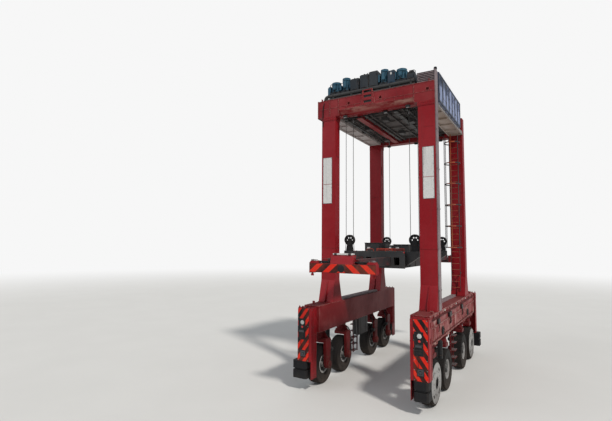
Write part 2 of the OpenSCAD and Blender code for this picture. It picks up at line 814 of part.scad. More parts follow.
// Half fork: a king pin and turret over the wheel, an arm down its inner side, a stub axle
module knuckle(axle, side) {
    bridge_z = tyre_d + 90;
    bridge_h = 150;
    arm_out = -arm_in - arm_t;
    color("darkred") at_wheel(axle, side) {
        translate([0, 0, boss_z - 60]) cylinder(d = pin_d, h = 300);
        translate([0, 0, boss_z - 50]) cylinder(d = 470, h = 50 - seat);
        translate([0, 0, bridge_z]) cylinder(d = 330, h = boss_z - 49 - bridge_z);
        side_plate(arm_out, 190) polygon([[-210, bridge_z], [210, bridge_z],
            [210, bridge_z + bridge_h - 50], [150, bridge_z + bridge_h],
            [-150, bridge_z + bridge_h], [-210, bridge_z + bridge_h - 50]]);
        front_plate(-16, 16) polygon([[arm_out, bridge_z + bridge_h - 1],
            [-160, bridge_z + bridge_h - 1], [-160, boss_z - 50], [-230, boss_z - 50]]);
        side_plate(arm_out, -arm_in) hull() {
            translate([-210, bridge_z]) square([420, 100]);
            translate([0, wheel_z]) circle(d = 320);
        }
        translate([0, 0, wheel_z]) {
            bar_x(300, arm_out - 70, arm_out + 1);
            bar_x(axle_d, -arm_in - 10, 60);
        }
    }
}

// A wheel rim: barrel with flanges, dished disc and hub; outer axles carry a round guard
module rim(axle, side) {
    r = rim_d / 2;
    edge = r + 42;
    half = 0.41 * tyre_w;
    bore = axle_d / 2 + pin_gap;
    color("silver") at_wheel(axle, side) translate([0, 0, wheel_z]) rotate([0, 90, 0]) {
        rotate_extrude() polygon([[r - 24, -half], [edge, -half - 10], [edge, -half],
            [r, -half + 10], [r, half - 10], [edge, half], [edge, half + 10],
            [edge - 20, half + 10], [r - 8, half - 14], [r - 24, half - 30]]);
        rotate_extrude() polygon([[bore, -half - 40], [150, -half - 40], [150, 20], [r - 60, 62],
            [r - 23, 62], [r - 23, 84], [r - 66, 84], [150, 44], [150, 110], [bore, 110]]);
        translate([0, 0, 105]) cylinder(d1 = 290, d2 = 210, h = 75);
        if (AXLES[axle][1]) difference() {
            rotate_extrude() polygon([[edge - 14, half + 9], [edge, half + 9], [edge, half + 46],
                [guard_d / 2, half + 50], [guard_d / 2 + 6, half + 56], [guard_d / 2, half + 62],
                [edge + 30, half + 62], [190, half + 78], [190, half + 64], [edge - 14, half + 50]]);
            for (a = [45 : 90 : 315]) rotate(a) translate([0, 0, half + 30])
                linear_extrude(60) translate([0.5 * (guard_d / 2 + edge), 0]) slot(90, 200);
        }
    }
}

module tyre(axle, side) {
    bead = rim_d / 2 + seat;
    half = 0.41 * tyre_w - 10;
    r = tyre_d / 2;
    w = tyre_w / 2;
    color("black") at_wheel(axle, side) translate([0, 0, wheel_z]) rotate([0, 90, 0])
        rotate_extrude() polygon([[bead, -half + seat], [bead + 42, -half + seat],
            [bead + 70, -half - 10], [bead + 130, -w + 6], [bead + 200, -w], [r - 130, -w],
            [r - 60, -w + 12], [r - 18, -w + 34], [r, -w + 70], [r, w - 70],
            [r - 18, w - 34], [r - 60, w - 12], [r - 130, w], [bead + 200, w],
            [bead + 130, w - 6], [bead + 70, half + 10], [bead + 42, half - seat],
            [bead, half - seat]]);
}

side_beam_left();
side_beam_right();
leg_front_left();
leg_front_right();
leg_rear_left();
leg_rear_right();
cross_beam_front();
cross_beam_rear();
top_beams();
centre_beam();
deck();
head_sheaves();
power_house();
intake_grille();
engine_block();
electrical_house();
hoist_bed();
hoist_motors();
hoist_cabinets();
hoist_drum();
hoist_ropes();
bumper_columns();
hazard_boards();
scanner_bumpers();
ladder();
access_steps();
fuel_tank();
handrails();
cable_duct();
placards();
spreader_frame();
spreader_sheaves();
spreader_cabinets();
spreader_end_front();
spreader_end_rear();
knuckle(0, -1);  // knuckle_front_left
knuckle(1, -1);  // knuckle_second_left
knuckle(2, -1);  // knuckle_third_left
knuckle(3, -1);  // knuckle_rear_left
knuckle(0, 1);  // knuckle_front_right
knuckle(1, 1);  // knuckle_second_right
knuckle(2, 1);  // knuckle_third_right
knuckle(3, 1);  // knuckle_rear_right
rim(0, -1);  // rim_front_left
rim(1, -1);  // rim_second_left
rim(2, -1);  // rim_third_left
rim(3, -1);  // rim_rear_left
rim(0, 1);  // rim_front_right
rim(1, 1);  // rim_second_right
rim(2, 1);  // rim_third_right
rim(3, 1);  // rim_rear_right
tyre(0, -1);  // tyre_front_left
tyre(1, -1);  // tyre_second_left
tyre(2, -1);  // tyre_third_left
tyre(3, -1);  // tyre_rear_left
tyre(0, 1);  // tyre_front_right
tyre(1, 1);  // tyre_second_right
tyre(2, 1);  // tyre_third_right
tyre(3, 1);  // tyre_rear_right
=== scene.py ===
import random
from itertools import product
from math import cos, pi, radians, sin, sqrt, tau

import bmesh
import bpy
from mathutils import Matrix, Vector


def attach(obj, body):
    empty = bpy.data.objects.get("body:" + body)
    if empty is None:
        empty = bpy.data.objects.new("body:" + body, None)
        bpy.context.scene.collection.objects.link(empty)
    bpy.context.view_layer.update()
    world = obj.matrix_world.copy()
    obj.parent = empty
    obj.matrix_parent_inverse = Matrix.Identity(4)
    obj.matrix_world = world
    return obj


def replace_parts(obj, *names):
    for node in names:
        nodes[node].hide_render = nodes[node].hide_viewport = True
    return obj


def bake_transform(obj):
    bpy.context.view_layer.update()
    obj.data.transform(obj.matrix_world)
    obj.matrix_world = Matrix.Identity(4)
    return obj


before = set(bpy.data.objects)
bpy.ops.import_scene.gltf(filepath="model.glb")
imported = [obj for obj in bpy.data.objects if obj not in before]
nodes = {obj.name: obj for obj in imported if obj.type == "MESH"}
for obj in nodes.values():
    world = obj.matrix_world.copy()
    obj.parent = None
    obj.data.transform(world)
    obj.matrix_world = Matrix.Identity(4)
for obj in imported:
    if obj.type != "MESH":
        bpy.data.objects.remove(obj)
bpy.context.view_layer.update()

random.seed(7)
scene = bpy.context.scene
print("frame loaded:", len(nodes), "nodes")

# Places that several pieces and paints share
wheelRows = {"front": -3.52, "second": -1.64, "third": 1.64, "rear": 3.52}
hubHeight, sideBeamTop, frontBeamLow, rearBeamLow, deckTop = 0.76, 3.13, 10.99, 10.83, 11.08
firstPanel, panelPitch = -2.47, 0.5914      # the wall panels of the power house


# The photograph's viewing angle

# turn is to the left of straight ahead and tilt upwards, in radians
cameraView = {"place": (6.081, -18.489, 5.478), "turn": 0.540, "tilt": 0.083, "roll": 0.008, "lens": 24.32,
              "sensor": 36.0, "reach": 400}


def placeCamera(v):
    data = bpy.data.cameras.new("yardCamera")
    data.lens, data.sensor_width, data.sensor_fit = v["lens"], v["sensor"], "HORIZONTAL"
    data.clip_end = v["reach"]
    cam = bpy.data.objects.new("yardCamera", data)
    scene.collection.objects.link(cam)
    level = Vector((cos(v["turn"]), sin(v["turn"]), 0))
    aim = Vector((-level.y * cos(v["tilt"]), level.x * cos(v["tilt"]), sin(v["tilt"])))
    over = level.cross(aim)
    rightward = level * cos(v["roll"]) + over * sin(v["roll"])
    upward = over * cos(v["roll"]) - level * sin(v["roll"])
    axes = Matrix((rightward, upward, -aim)).transposed().to_4x4()
    cam.matrix_world = Matrix.Translation(v["place"]) @ axes
    scene.camera = cam


placeCamera(cameraView)


# Shader helpers

def addNode(tree, kind, links=None, **values):
    made = tree.nodes.new(kind)
    for name, value in values.items():
        setattr(made, name, value)
    for socket, source in (links or {}).items():
        target = made.inputs[socket]
        if isinstance(source, bpy.types.NodeSocket):
            tree.links.new(source, target)
        else:
            target.default_value = (*source, 1.0) if target.type == "RGBA" and len(source) == 3 else source
    return made


def mathNode(tree, operation, *sources, clamp=False):
    return addNode(tree, "ShaderNodeMath", dict(enumerate(sources)), operation=operation,
                   use_clamp=clamp).outputs[0]


def plus(tree, a, b):
    return mathNode(tree, "ADD", a, b)


def minus(tree, a, b):
    return mathNode(tree, "SUBTRACT", a, b)


def times(tree, a, b):
    return mathNode(tree, "MULTIPLY", a, b)


def absolute(tree, a):
    return mathNode(tree, "ABSOLUTE", a)


def ramp(tree, source, low, high, to=(0.0, 1.0), kind="SMOOTHSTEP"):
    links = {0: source, 1: low, 2: high, 3: to[0], 4: to[1]}
    return addNode(tree, "ShaderNodeMapRange", links, interpolation_type=kind).outputs[0]


def mixColour(tree, factor, a, b, how="MIX"):
    return addNode(tree, "ShaderNodeMix", {0: factor, 6: a, 7: b}, data_type="RGBA",
                   blend_type=how).outputs[2]


def axesOf(tree, vector):
    return addNode(tree, "ShaderNodeSeparateXYZ", {0: vector}).outputs


def noise(tree, place, scale, detail=3.0, stretch=None, rough=0.55):
    if stretch:
        place = addNode(tree, "ShaderNodeMapping", {0: place, 3: stretch}).outputs[0]
    return addNode(tree, "ShaderNodeTexNoise", {0: place, "Scale": scale, "Detail": detail,
                                                "Roughness": rough}).outputs[0]


def newGroup(name, inputs, outputs):
    group = bpy.data.node_groups.new(name, "ShaderNodeTree")
    for direction, sockets in (("INPUT", inputs), ("OUTPUT", outputs)):
        for label, kind, *value in sockets:
            made = group.interface.new_socket(label, in_out=direction, socket_type="NodeSocket" + kind)
            if value:
                made.default_value = value[0]
    return group, group.nodes.new("NodeGroupInput").outputs, group.nodes.new("NodeGroupOutput").inputs


# Edges that rubbing and stones have worn: a mask, and the normal of a slightly rounded edge
def buildEdgeGroup():
    group, given, put = newGroup("wornEdges", [
        ("Place", "Vector"), ("Radius", "Float", 0.012), ("Grain", "Float", 9.0), ("Amount", "Float", 0.5)],
        [("Mask", "Float"), ("Normal", "Vector")])
    soft = addNode(group, "ShaderNodeBevel", {"Radius": given["Radius"]}, samples=4).outputs[0]
    flat = addNode(group, "ShaderNodeNewGeometry").outputs["Normal"]
    match = addNode(group, "ShaderNodeVectorMath", {0: soft, 1: flat},
                    operation="DOT_PRODUCT").outputs["Value"]
    patch = noise(group, given["Place"], given["Grain"], 5.0, rough=0.7)
    bite = plus(group, patch, times(group, given["Amount"], 0.3))
    mask = times(group, ramp(group, match, 0.995, 0.86), ramp(group, bite, 0.62, 0.7))
    group.links.new(mask, put["Mask"])
    group.links.new(soft, put["Normal"])
    return group


# Weather on steel out of doors: sun-fading, rain streaks, dust that settles and dirt thrown up by the wheels
def buildWeatherGroup():
    group, given, put = newGroup("weather", [
        ("Place", "Vector"), ("Paint", "Color", (0.5, 0.5, 0.5, 1)), ("Faded", "Color", (0.6, 0.6, 0.6, 1)),
        ("Dirt", "Color", (0.1, 0.09, 0.08, 1)), ("Fade", "Float", 0.5), ("Streaks", "Float", 0.5),
        ("Dust", "Float", 0.5), ("Splash", "Float", 1.5), ("Seed", "Float", 0.0)],
        [("Color", "Color"), ("Grime", "Float"), ("Height", "Float")])
    shift = addNode(group, "ShaderNodeCombineXYZ", dict.fromkeys(range(3), given["Seed"])).outputs[0]
    place = addNode(group, "ShaderNodeVectorMath", {0: given["Place"], 1: shift}).outputs[0]
    facing = axesOf(group, addNode(group, "ShaderNodeNewGeometry").outputs["Normal"])[2]
    upward = ramp(group, facing, 0.35, 0.9)
    upright = ramp(group, absolute(group, facing), 0.7, 0.3)
    broad = noise(group, place, 0.55, 4.0)
    mottle = noise(group, place, 3.2, 5.0, rough=0.65)
    fine = noise(group, place, 26.0, 3.0)
    bleached = ramp(group, plus(group, broad, times(group, mottle, 0.35)), 0.5, 0.86)
    colour = mixColour(group, times(group, bleached, given["Fade"]), given["Paint"], given["Faded"])
    runs = noise(group, place, 1.0, 4.0, stretch=(7.0, 7.0, 0.32), rough=0.6)
    thin = noise(group, place, 1.0, 3.0, stretch=(24.0, 24.0, 0.7), rough=0.6)
    run = ramp(group, plus(group, times(group, runs, 0.65), times(group, thin, 0.35)), 0.52, 0.68)
    streak = times(group, times(group, run, upright), given["Streaks"])
    settled = times(group, times(group, upward, ramp(group, mottle, 0.3, 0.7, (0.45, 1.0))), given["Dust"])
    low = mathNode(group, "DIVIDE", axesOf(group, given["Place"])[2], given["Splash"])
    thrown = times(group, ramp(group, plus(group, low, times(group, mottle, 0.9)), 1.35, 0.45), 0.75)
    grime = mathNode(group, "MAXIMUM", mathNode(group, "MAXIMUM", streak, settled), thrown, clamp=True)
    pale = mixColour(group, 0.45, given["Dirt"], given["Faded"])
    soil = mixColour(group, ramp(group, mottle, 0.35, 0.65), given["Dirt"], pale)
    colour = mixColour(group, grime, colour, soil)
    colour = mixColour(group, ramp(group, fine, 0.3, 0.7, (0.0, 0.16)), colour, (0.0, 0.0, 0.0))
    group.links.new(colour, put["Color"])
    group.links.new(grime, put["Grime"])
    group.links.new(plus(group, times(group, broad, 0.8), times(group, fine, 0.05)), put["Height"])
    return group


wornEdges, weather = buildEdgeGroup(), buildWeatherGroup()


def newMaterial(name):
    made = bpy.data.materials.new(name)
    made.use_nodes = True
    tree = made.node_tree
    tree.nodes.clear()
    surface = addNode(tree, "ShaderNodeBsdfPrincipled")
    out = addNode(tree, "ShaderNodeOutputMaterial", {0: surface.outputs[0]})
    return made, tree, surface, addNode(tree, "ShaderNodeTexCoord").outputs["Object"], out


# Paint on steel. A pattern may hand in its own colour in place of the plain paint
def paintedSteel(name, paint, faded, seed, dirt=(0.075, 0.062, 0.052), under=(0.09, 0.055, 0.04), fade=0.5,
                 streaks=0.4, dust=0.5, splash=1.2, wear=0.45, rough=0.42, metal=0.0, coat=0.0, radius=0.012,
                 ripple=0.25, shine=0.16, pattern=None):
    made, tree, surface, place, _ = newMaterial(name)
    soil = addNode(tree, "ShaderNodeGroup", node_tree=weather, links={
        "Place": place, "Paint": pattern(tree, place) if pattern else paint, "Faded": faded, "Dirt": dirt,
        "Fade": fade, "Streaks": streaks, "Dust": dust, "Splash": splash, "Seed": seed}).outputs
    edge = addNode(tree, "ShaderNodeGroup", node_tree=wornEdges, links={
        "Place": place, "Radius": radius, "Amount": wear}).outputs
    bump = addNode(tree, "ShaderNodeBump", {"Strength": ripple, "Distance": 0.02, "Height": soil["Height"],
                                            "Normal": edge["Normal"]})
    for socket, source in (("Base Color", mixColour(tree, edge["Mask"], soil["Color"], under)),
                           ("Roughness", ramp(tree, soil["Grime"], 0.0, 1.0, (rough, 0.85))),
                           ("Normal", bump.outputs[0])):
        tree.links.new(source, surface.inputs[socket])
    for socket, value in (("Metallic", metal), ("Coat Weight", coat), ("Coat Roughness", 0.2),
                          ("Specular IOR Level", shine)):
        surface.inputs[socket].default_value = value
    return made


# Slanting bands that lean the other way on the other side of the machine
def slantedBands(pitch, slope, dark, bright, cover):
    def pattern(tree, place):
        axes = axesOf(tree, place)
        lean = plus(tree, axes[2], times(tree, absolute(tree, axes[0]), slope))
        band = mathNode(tree, "PINGPONG", lean, pitch)
        edge = ramp(tree, band, pitch * (cover - 0.01), pitch * (cover + 0.01))
        chips = ramp(tree, noise(tree, place, 14.0, 6.0, rough=0.75), 0.68, 0.72)
        return mixColour(tree, chips, mixColour(tree, edge, dark, bright), (0.16, 0.10, 0.08))
    return pattern


# A second colour inside a cylinder along X: the hub of a wheel on each outer and inner axle
def hubPattern(paint, second, radius, places, height):
    def pattern(tree, place):
        axes = axesOf(tree, place)
        length, rise = absolute(tree, axes[1]), minus(tree, axes[2], height)
        reaches = []
        for spot in places:
            along = minus(tree, length, spot)
            reaches.append(mathNode(tree, "SQRT",
                                    plus(tree, times(tree, along, along), times(tree, rise, rise))))
        near = mathNode(tree, "MINIMUM", *reaches)
        return mixColour(tree, ramp(tree, near, radius - 0.004, radius + 0.004), second, paint)
    return pattern


# A second colour in a slab across one axis, on both sides of the machine's middle unless told otherwise
def slabPattern(paint, second, axis, middle, half, both=True):
    def pattern(tree, place):
        distance = axesOf(tree, place)[axis]
        reach = absolute(tree, minus(tree, absolute(tree, distance) if both else distance, middle))
        return mixColour(tree, ramp(tree, reach, half - 0.002, half + 0.002), second, paint)
    return pattern


# The top beams: the left one pale, the right one tan below and dark on its outer side
def topBeamPattern(left, below, outer):
    def pattern(tree, place):
        across = axesOf(tree, place)[0]
        right = mixColour(tree, ramp(tree, across, 2.395, 2.405), below, outer)
        return mixColour(tree, ramp(tree, across, -0.1, 0.1), left, right)
    return pattern


# Paint rubbed and bleached in patches where keep says so, partly painted highlight and sheen
def patchPattern(paint, second, stretch, low, high, keep):
    def pattern(tree, place):
        patch = ramp(tree, noise(tree, place, 1.0, 5.0, stretch=stretch, rough=0.7), low, high)
        return mixColour(tree, times(tree, patch, keep(tree, axesOf(tree, place))), paint, second)
    return pattern


# Where the sloping lower edge of the front beam is worn and carries a painted highlight: each pair is where
# that begins and where it is full
chamferWearAndHighlight = {"middle": 11.15, "height": (0.12, 0.03), "across": (1.62, 1.55), "along": (-2.80, -2.84)}


def nearChamfer(tree, axes, v=chamferWearAndHighlight):
    height = ramp(tree, absolute(tree, minus(tree, axes[2], v["middle"])), *v["height"])
    between = ramp(tree, absolute(tree, axes[0]), *v["across"])
    return times(tree, times(tree, height, ramp(tree, axes[1], *v["along"])), between)


# The outer webs of the side beams, whose pale patches are faded paint and painted sheen of sunlight
webFadeAndSheen = {"across": (2.39, 2.42), "share": 0.8}


def onSideWebs(tree, axes, v=webFadeAndSheen):
    return times(tree, ramp(tree, absolute(tree, axes[0]), *v["across"]), v["share"])


# Upright panels: dark at their joints and in the upper front corner, pale and streaked between them
def panelPattern(dark, bright, first, pitch):
    def pattern(tree, place):
        axes = axesOf(tree, place)
        along = minus(tree, axes[1], first)
        joint = ramp(tree, mathNode(tree, "PINGPONG", along, pitch / 2), 0.02, 0.13)
        streaks = ramp(tree, noise(tree, place, 1.0, 5.0, stretch=(2.0, 9.0, 0.7), rough=0.7), 0.32, 0.56)
        corner = times(tree, ramp(tree, along, 2.6 * pitch, 2.0 * pitch), ramp(tree, axes[2], 11.70, 11.95))
        rest = times(tree, joint, minus(tree, 1.0, corner))
        return mixColour(tree, times(tree, rest, streaks), dark, bright)
    return pattern


# Paints: colour, faded colour, seed of the weather, and what differs from plain painted steel

red, redFaded = (0.255, 0.006, 0.011), (0.32, 0.028, 0.034)
signalRed, signalFaded, stripeBlack = (0.72, 0.018, 0.008), (0.7, 0.12, 0.06), (0.008, 0.008, 0.009)
beamPaint, sillPaint = (0.200, 0.006, 0.010), (0.185, 0.007, 0.010)
houseDark, housePale = (0.036, 0.052, 0.085), (0.37, 0.43, 0.66)
topPale = (0.42, 0.37, 0.36)
paints = {
    "portalRed": (red, redFaded, 0, dict(dirt=(0.07, 0.035, 0.032), fade=0.4, streaks=0.35, rough=0.38)),
    # tan patches along the sloping lower edge of the front beam: wear and painted highlight
    "beamRed": (beamPaint, (0.30, 0.04, 0.042), 3, dict(
        dirt=(0.055, 0.02, 0.02), under=(0.36, 0.19, 0.16), fade=0.6, streaks=0.5, dust=0.6, wear=0.7,
        pattern=patchPattern(beamPaint, (0.42, 0.21, 0.17), (0.9, 1.0, 5.0), 0.42, 0.60, nearChamfer))),
    # pale patches on the outer webs of the side beams: faded paint and painted sheen of sunlight
    "sillRed": (sillPaint, (0.30, 0.07, 0.07), 5, dict(
        dirt=(0.06, 0.028, 0.025), under=(0.46, 0.30, 0.26), fade=0.8, streaks=0.6, dust=0.7, splash=1.9,
        wear=1.0, rough=0.5,
        pattern=patchPattern(sillPaint, (0.52, 0.33, 0.30), (1.0, 1.9, 1.1), 0.46, 0.62, onSideWebs))),
    "forkRed": ((0.105, 0.004, 0.006), (0.17, 0.018, 0.020), 8, dict(
        dirt=(0.035, 0.02, 0.018), dust=0.6, splash=1.7, wear=0.8, rough=0.5)),
    "endRed": (red, redFaded, 27, dict(
        dust=0.6, wear=0.7, pattern=slabPattern(red, (0.035, 0.036, 0.039), 1, 3.70, 2.092))),
    "signalRedPaint": ((0.42, 0.03, 0.018), (0.45, 0.09, 0.06), 32, dict(radius=0.003)),
    "hazard": (signalRed, signalFaded, 15, dict(
        fade=0.25, streaks=0.3, dust=0.3, splash=1.3, rough=0.35,
        pattern=slantedBands(0.22, 1.4, stripeBlack, signalRed, 0.54))),
    "spreaderHazard": (signalRed, signalFaded, 21, dict(
        fade=0.25, streaks=0.3, dust=0.3, rough=0.35,
        pattern=slantedBands(0.2418, 0.9, stripeBlack, signalRed, 0.54))),
    "paleGrey": ((0.44, 0.43, 0.41), (0.56, 0.54, 0.50), 2, dict(streaks=0.6)),
    "plateWhite": ((0.66, 0.65, 0.63), (0.74, 0.73, 0.70), 14, dict(streaks=0.5, wear=0.1, radius=0.003)),
    "ductGrey": ((0.20, 0.155, 0.165), (0.34, 0.27, 0.28), 4, dict(fade=0.6, streaks=0.5)),
    "topGrey": (topPale, (0.54, 0.48, 0.46), 28, dict(
        streaks=0.5, pattern=topBeamPattern(topPale, (0.34, 0.26, 0.20), (0.10, 0.09, 0.105)))),
    "houseBlue": (houseDark, (0.20, 0.25, 0.39), 6, dict(
        dirt=(0.03, 0.035, 0.05), fade=0.4, streaks=0.8, ripple=0.4,
        pattern=panelPattern(houseDark, housePale, firstPanel, panelPitch))),
    "houseFrame": ((0.035, 0.045, 0.065), (0.10, 0.125, 0.17), 31, dict(fade=0.7, streaks=0.6, wear=0.8)),
    "cabinetGrey": ((0.022, 0.027, 0.034), (0.05, 0.055, 0.06), 29, dict(
        fade=0.6, wear=0.6, rough=0.4,
        pattern=slabPattern((0.020, 0.025, 0.032), (0.014, 0.045, 0.085), 0, 0.655, 0.17, both=False))),
    "motorBlue": ((0.022, 0.075, 0.125), (0.06, 0.16, 0.21), 1, dict(streaks=0.3, wear=0.35, rough=0.35)),
    "machineGrey": ((0.036, 0.036, 0.038), (0.075, 0.072, 0.07), 7,
                    dict(fade=0.6, streaks=0.3, wear=0.6, rough=0.45)),
    "machineBlack": ((0.014, 0.014, 0.016), (0.03, 0.03, 0.031), 9, dict(streaks=0.3, rough=0.4)),
    "grilleDark": ((0.045, 0.030, 0.032), (0.10, 0.08, 0.08), 30, dict(
        under=(0.5, 0.47, 0.46), fade=0.6, wear=1.2, radius=0.006)),
    # the deck's grey is darkened as painted shade for the shade under the deck; the deck's top takes the same
    # dark grey
    "deckGrey": ((0.075, 0.066, 0.064), (0.14, 0.125, 0.12), 12,
                 dict(fade=0.8, streaks=0.3, dust=0.8, rough=0.6)),
    "zinc": ((0.22, 0.22, 0.225), (0.30, 0.30, 0.30), 11, dict(
        under=(0.2, 0.2, 0.2), fade=0.8, streaks=0.3, rough=0.45, metal=0.6, radius=0.004)),
    "ladderPaint": ((0.05, 0.048, 0.05), (0.10, 0.095, 0.09), 20, dict(
        fade=0.6, streaks=0.3, radius=0.003,
        pattern=slabPattern((0.04, 0.038, 0.04), (0.42, 0.10, 0.045), 0, 2.02, 0.19))),
    "rimGrey": ((0.27, 0.265, 0.26), (0.38, 0.37, 0.355), 13, dict(
        fade=0.6, streaks=0.5, dust=0.3, splash=0.9,
        pattern=hubPattern((0.30, 0.295, 0.29), (0.03, 0.029, 0.029), 0.178,
                           (wheelRows["rear"], wheelRows["third"]), hubHeight))),
    "blockRubber": ((0.009, 0.009, 0.011), (0.024, 0.023, 0.023), 16, dict(
        dirt=(0.055, 0.047, 0.04), fade=0.6, splash=0.8, wear=0.0, rough=0.6)),
    "tyreRubber": ((0.011, 0.010, 0.010), (0.024, 0.021, 0.020), 17, dict(
        dirt=(0.065, 0.052, 0.043), fade=0.8, streaks=0.0, dust=0.25, splash=1.3, wear=0.0, rough=0.68,
        radius=0.006)),
    "hoseBlack": ((0.010, 0.010, 0.011), (0.028, 0.027, 0.027), 22, dict(
        fade=0.7, streaks=0.0, wear=0.0, rough=0.5, radius=0.003)),
    "wireRope": ((0.055, 0.052, 0.05), (0.12, 0.115, 0.11), 18, dict(
        fade=0.8, streaks=0.0, wear=0.0, rough=0.4, metal=0.7, radius=0.003)),
    "lampGlass": ((0.50, 0.51, 0.49), (0.62, 0.62, 0.58), 23, dict(
        fade=0.4, streaks=0.1, dust=0.2, wear=0.0, rough=0.12, coat=0.6, shine=0.5, radius=0.003)),
    "darkGlass": ((0.012, 0.014, 0.022), (0.02, 0.022, 0.03), 24, dict(
        fade=0.4, streaks=0.15, dust=0.2, wear=0.0, rough=0.08, coat=0.8, shine=0.5, radius=0.003)),
    "redLens": ((0.55, 0.012, 0.010), (0.6, 0.05, 0.04), 25, dict(
        fade=0.3, streaks=0.1, dust=0.2, wear=0.0, rough=0.15, coat=0.6, shine=0.5, radius=0.003)),
}
materials = {name: paintedSteel(name, *main, **more) for name, (*main, more) in paints.items()}

# The CAD nodes of each finish, by how their names begin
finishes = {
    "sillRed": "side_beam", "portalRed": "leg bumper_columns", "beamRed": "cross_beam centre_beam",
    "topGrey": "top_beams", "deckGrey": "deck", "houseBlue": "power_house", "grilleDark": "intake_grille",
    "machineGrey": "head_sheaves engine_block hoist_bed hoist_drum spreader_frame spreader_cabinets "
                   "fuel_tank",
    "paleGrey": "electrical_house", "motorBlue": "hoist_motors", "cabinetGrey": "hoist_cabinets",
    "wireRope": "hoist_ropes", "hazard": "hazard_boards", "blockRubber": "scanner_bumpers",
    "ladderPaint": "ladder", "forkRed": "access_steps knuckle", "machineBlack": "handrails spreader_sheaves",
    "ductGrey": "cable_duct", "plateWhite": "placards", "endRed": "spreader_end", "rimGrey": "rim",
    "tyreRubber": "tyre",
}
finishOf = {start: finish for finish, starts in finishes.items() for start in starts.split()}
for name, node in nodes.items():
    key = max((start for start in finishOf if name.startswith(start)), key=len)
    node.data.materials.clear()
    node.data.materials.append(materials[finishOf[key]])

# The slot name of each finish, which makePiece looks up but does not give to the piece
slots = {
    "red_paint": "portalRed beamRed sillRed forkRed signalRedPaint redLens",
    "hazard_stripes": "spreaderHazard", "black_paint": "machineBlack hoseBlack darkGlass",
    "light_grey_paint": "paleGrey ductGrey", "dark_grey_paint": "machineGrey cabinetGrey grilleDark deckGrey",
    "blue_grey_paint": "houseBlue houseFrame", "blue_paint": "motorBlue",
    "white_plate": "plateWhite lampGlass", "galvanised_steel": "zinc",
    "wire_rope": "wireRope", "tyre": "tyreRubber",
}
slotOf = {finish: slot for slot, users in slots.items() for finish in users.split()}
print("finishes:", len(materials))


# Building blocks for the new pieces

# Every way to pick one value from each list inside a spec: a list stands for one copy per value
def each(spec):
    if isinstance(spec, list):
        return [one for item in spec for one in each(item)]
    return list(product(*map(each, spec))) if isinstance(spec, tuple) else [spec]


def spread(start, end, count):
    return [start + (end - start) * i / (count - 1) for i in range(count)]


def around(middle, reach):
    return [middle - reach, middle + reach]


def moved(point, step):
    return tuple(a + b for a, b in zip(point, step))


# Copies of a line of points, moved along X
def beside(points, *steps):
    return [tuple(moved(point, (step, 0, 0)) for point in points) for step in steps]


def boxIn(bm, low, high, bevel=0.004):
    size = [b - a for a, b in zip(low, high)]
    middle = [(a + b) / 2 for a, b in zip(low, high)]
    place = Matrix.Translation(middle) @ Matrix.Diagonal((*size, 1.0))
    made = bmesh.ops.create_cube(bm, size=1.0, matrix=place)["verts"]
    if bevel:
        edges = list({edge for vert in made for edge in vert.link_edges})
        bmesh.ops.bevel(bm, geom=edges, offset=min(bevel, 0.3 * min(size)), offset_type="OFFSET", segments=1,
                        profile=0.5, affect="EDGES", material=-1, clamp_overlap=True)


def rodIn(bm, start, end, radius, sides=16, bevel=0.0, tip=None):
    start, end = Vector(start), Vector(end)
    turn = (end - start).to_track_quat("Z", "Y").to_matrix().to_4x4()
    made = bmesh.ops.create_cone(bm, cap_ends=True, cap_tris=False, segments=sides, radius1=radius,
                                 radius2=radius if tip is None else tip, depth=(end - start).length,
                                 matrix=Matrix.Translation((start + end) / 2) @ turn)["verts"]
    if bevel:
        caps = {face for vert in made for face in vert.link_faces if len(face.verts) == sides}
        edges = list({edge for face in caps for edge in face.edges})
        bmesh.ops.bevel(bm, geom=edges, offset=bevel, offset_type="OFFSET", segments=2, profile=0.5,
                        affect="EDGES", material=-1, clamp_overlap=True)


def copyIn(bm, shape, matrix):
    mesh = shape.copy()
    mesh.transform(matrix)
    bm.from_mesh(mesh)
    bpy.data.meshes.remove(mesh)


# One bolt of size 1 with its washer, copied to each place
def makeBoltShape():
    bm = bmesh.new()
    rodIn(bm, (0, 0, -0.1), (0, 0, 0.16), 0.78, 12)
    rodIn(bm, (0, 0, 0.1), (0, 0, 0.75), 0.55, 6)
    mesh = bpy.data.meshes.new("boltShape")
    bm.to_mesh(mesh)
    bm.free()
    return mesh


boltShape = makeBoltShape()


def boltIn(bm, place, toward, size):
    turn = Vector(toward).to_track_quat("Z", "Y").to_matrix().to_4x4()
    copyIn(bm, boltShape, Matrix.Translation(place) @ turn @ Matrix.Scale(size, 4))


def boltRing(bm, centre, toward, ring, count, size, first=0.0):
    toward = Vector(toward).normalized()
    side = toward.orthogonal().normalized()
    other = toward.cross(side)
    for i in range(count):
        a = first + tau * i / count
        boltIn(bm, Vector(centre) + (side * cos(a) + other * sin(a)) * ring, toward, size)


def spinIn(bm, profile, centre, axis, steps, angle=tau, drift=(0, 0, 0)):
    verts = [bm.verts.new(point) for point in profile]
    edges = [bm.edges.new(pair) for pair in zip(verts, verts[1:] + verts[:1])]
    bmesh.ops.spin(bm, geom=verts + edges, cent=centre, axis=axis, dvec=drift, angle=angle, steps=steps,
                   use_merge=angle == tau, use_duplicate=False)


def ringIn(bm, centre, axis, ring, wire, steps=40, sides=8):
    axis = Vector(axis).normalized()
    side = axis.orthogonal().normalized()
    angles = [tau * i / sides for i in range(sides)]
    profile = [Vector(centre) + side * (ring + wire * cos(a)) + axis * wire * sin(a) for a in angles]
    spinIn(bm, profile, centre, axis, steps)


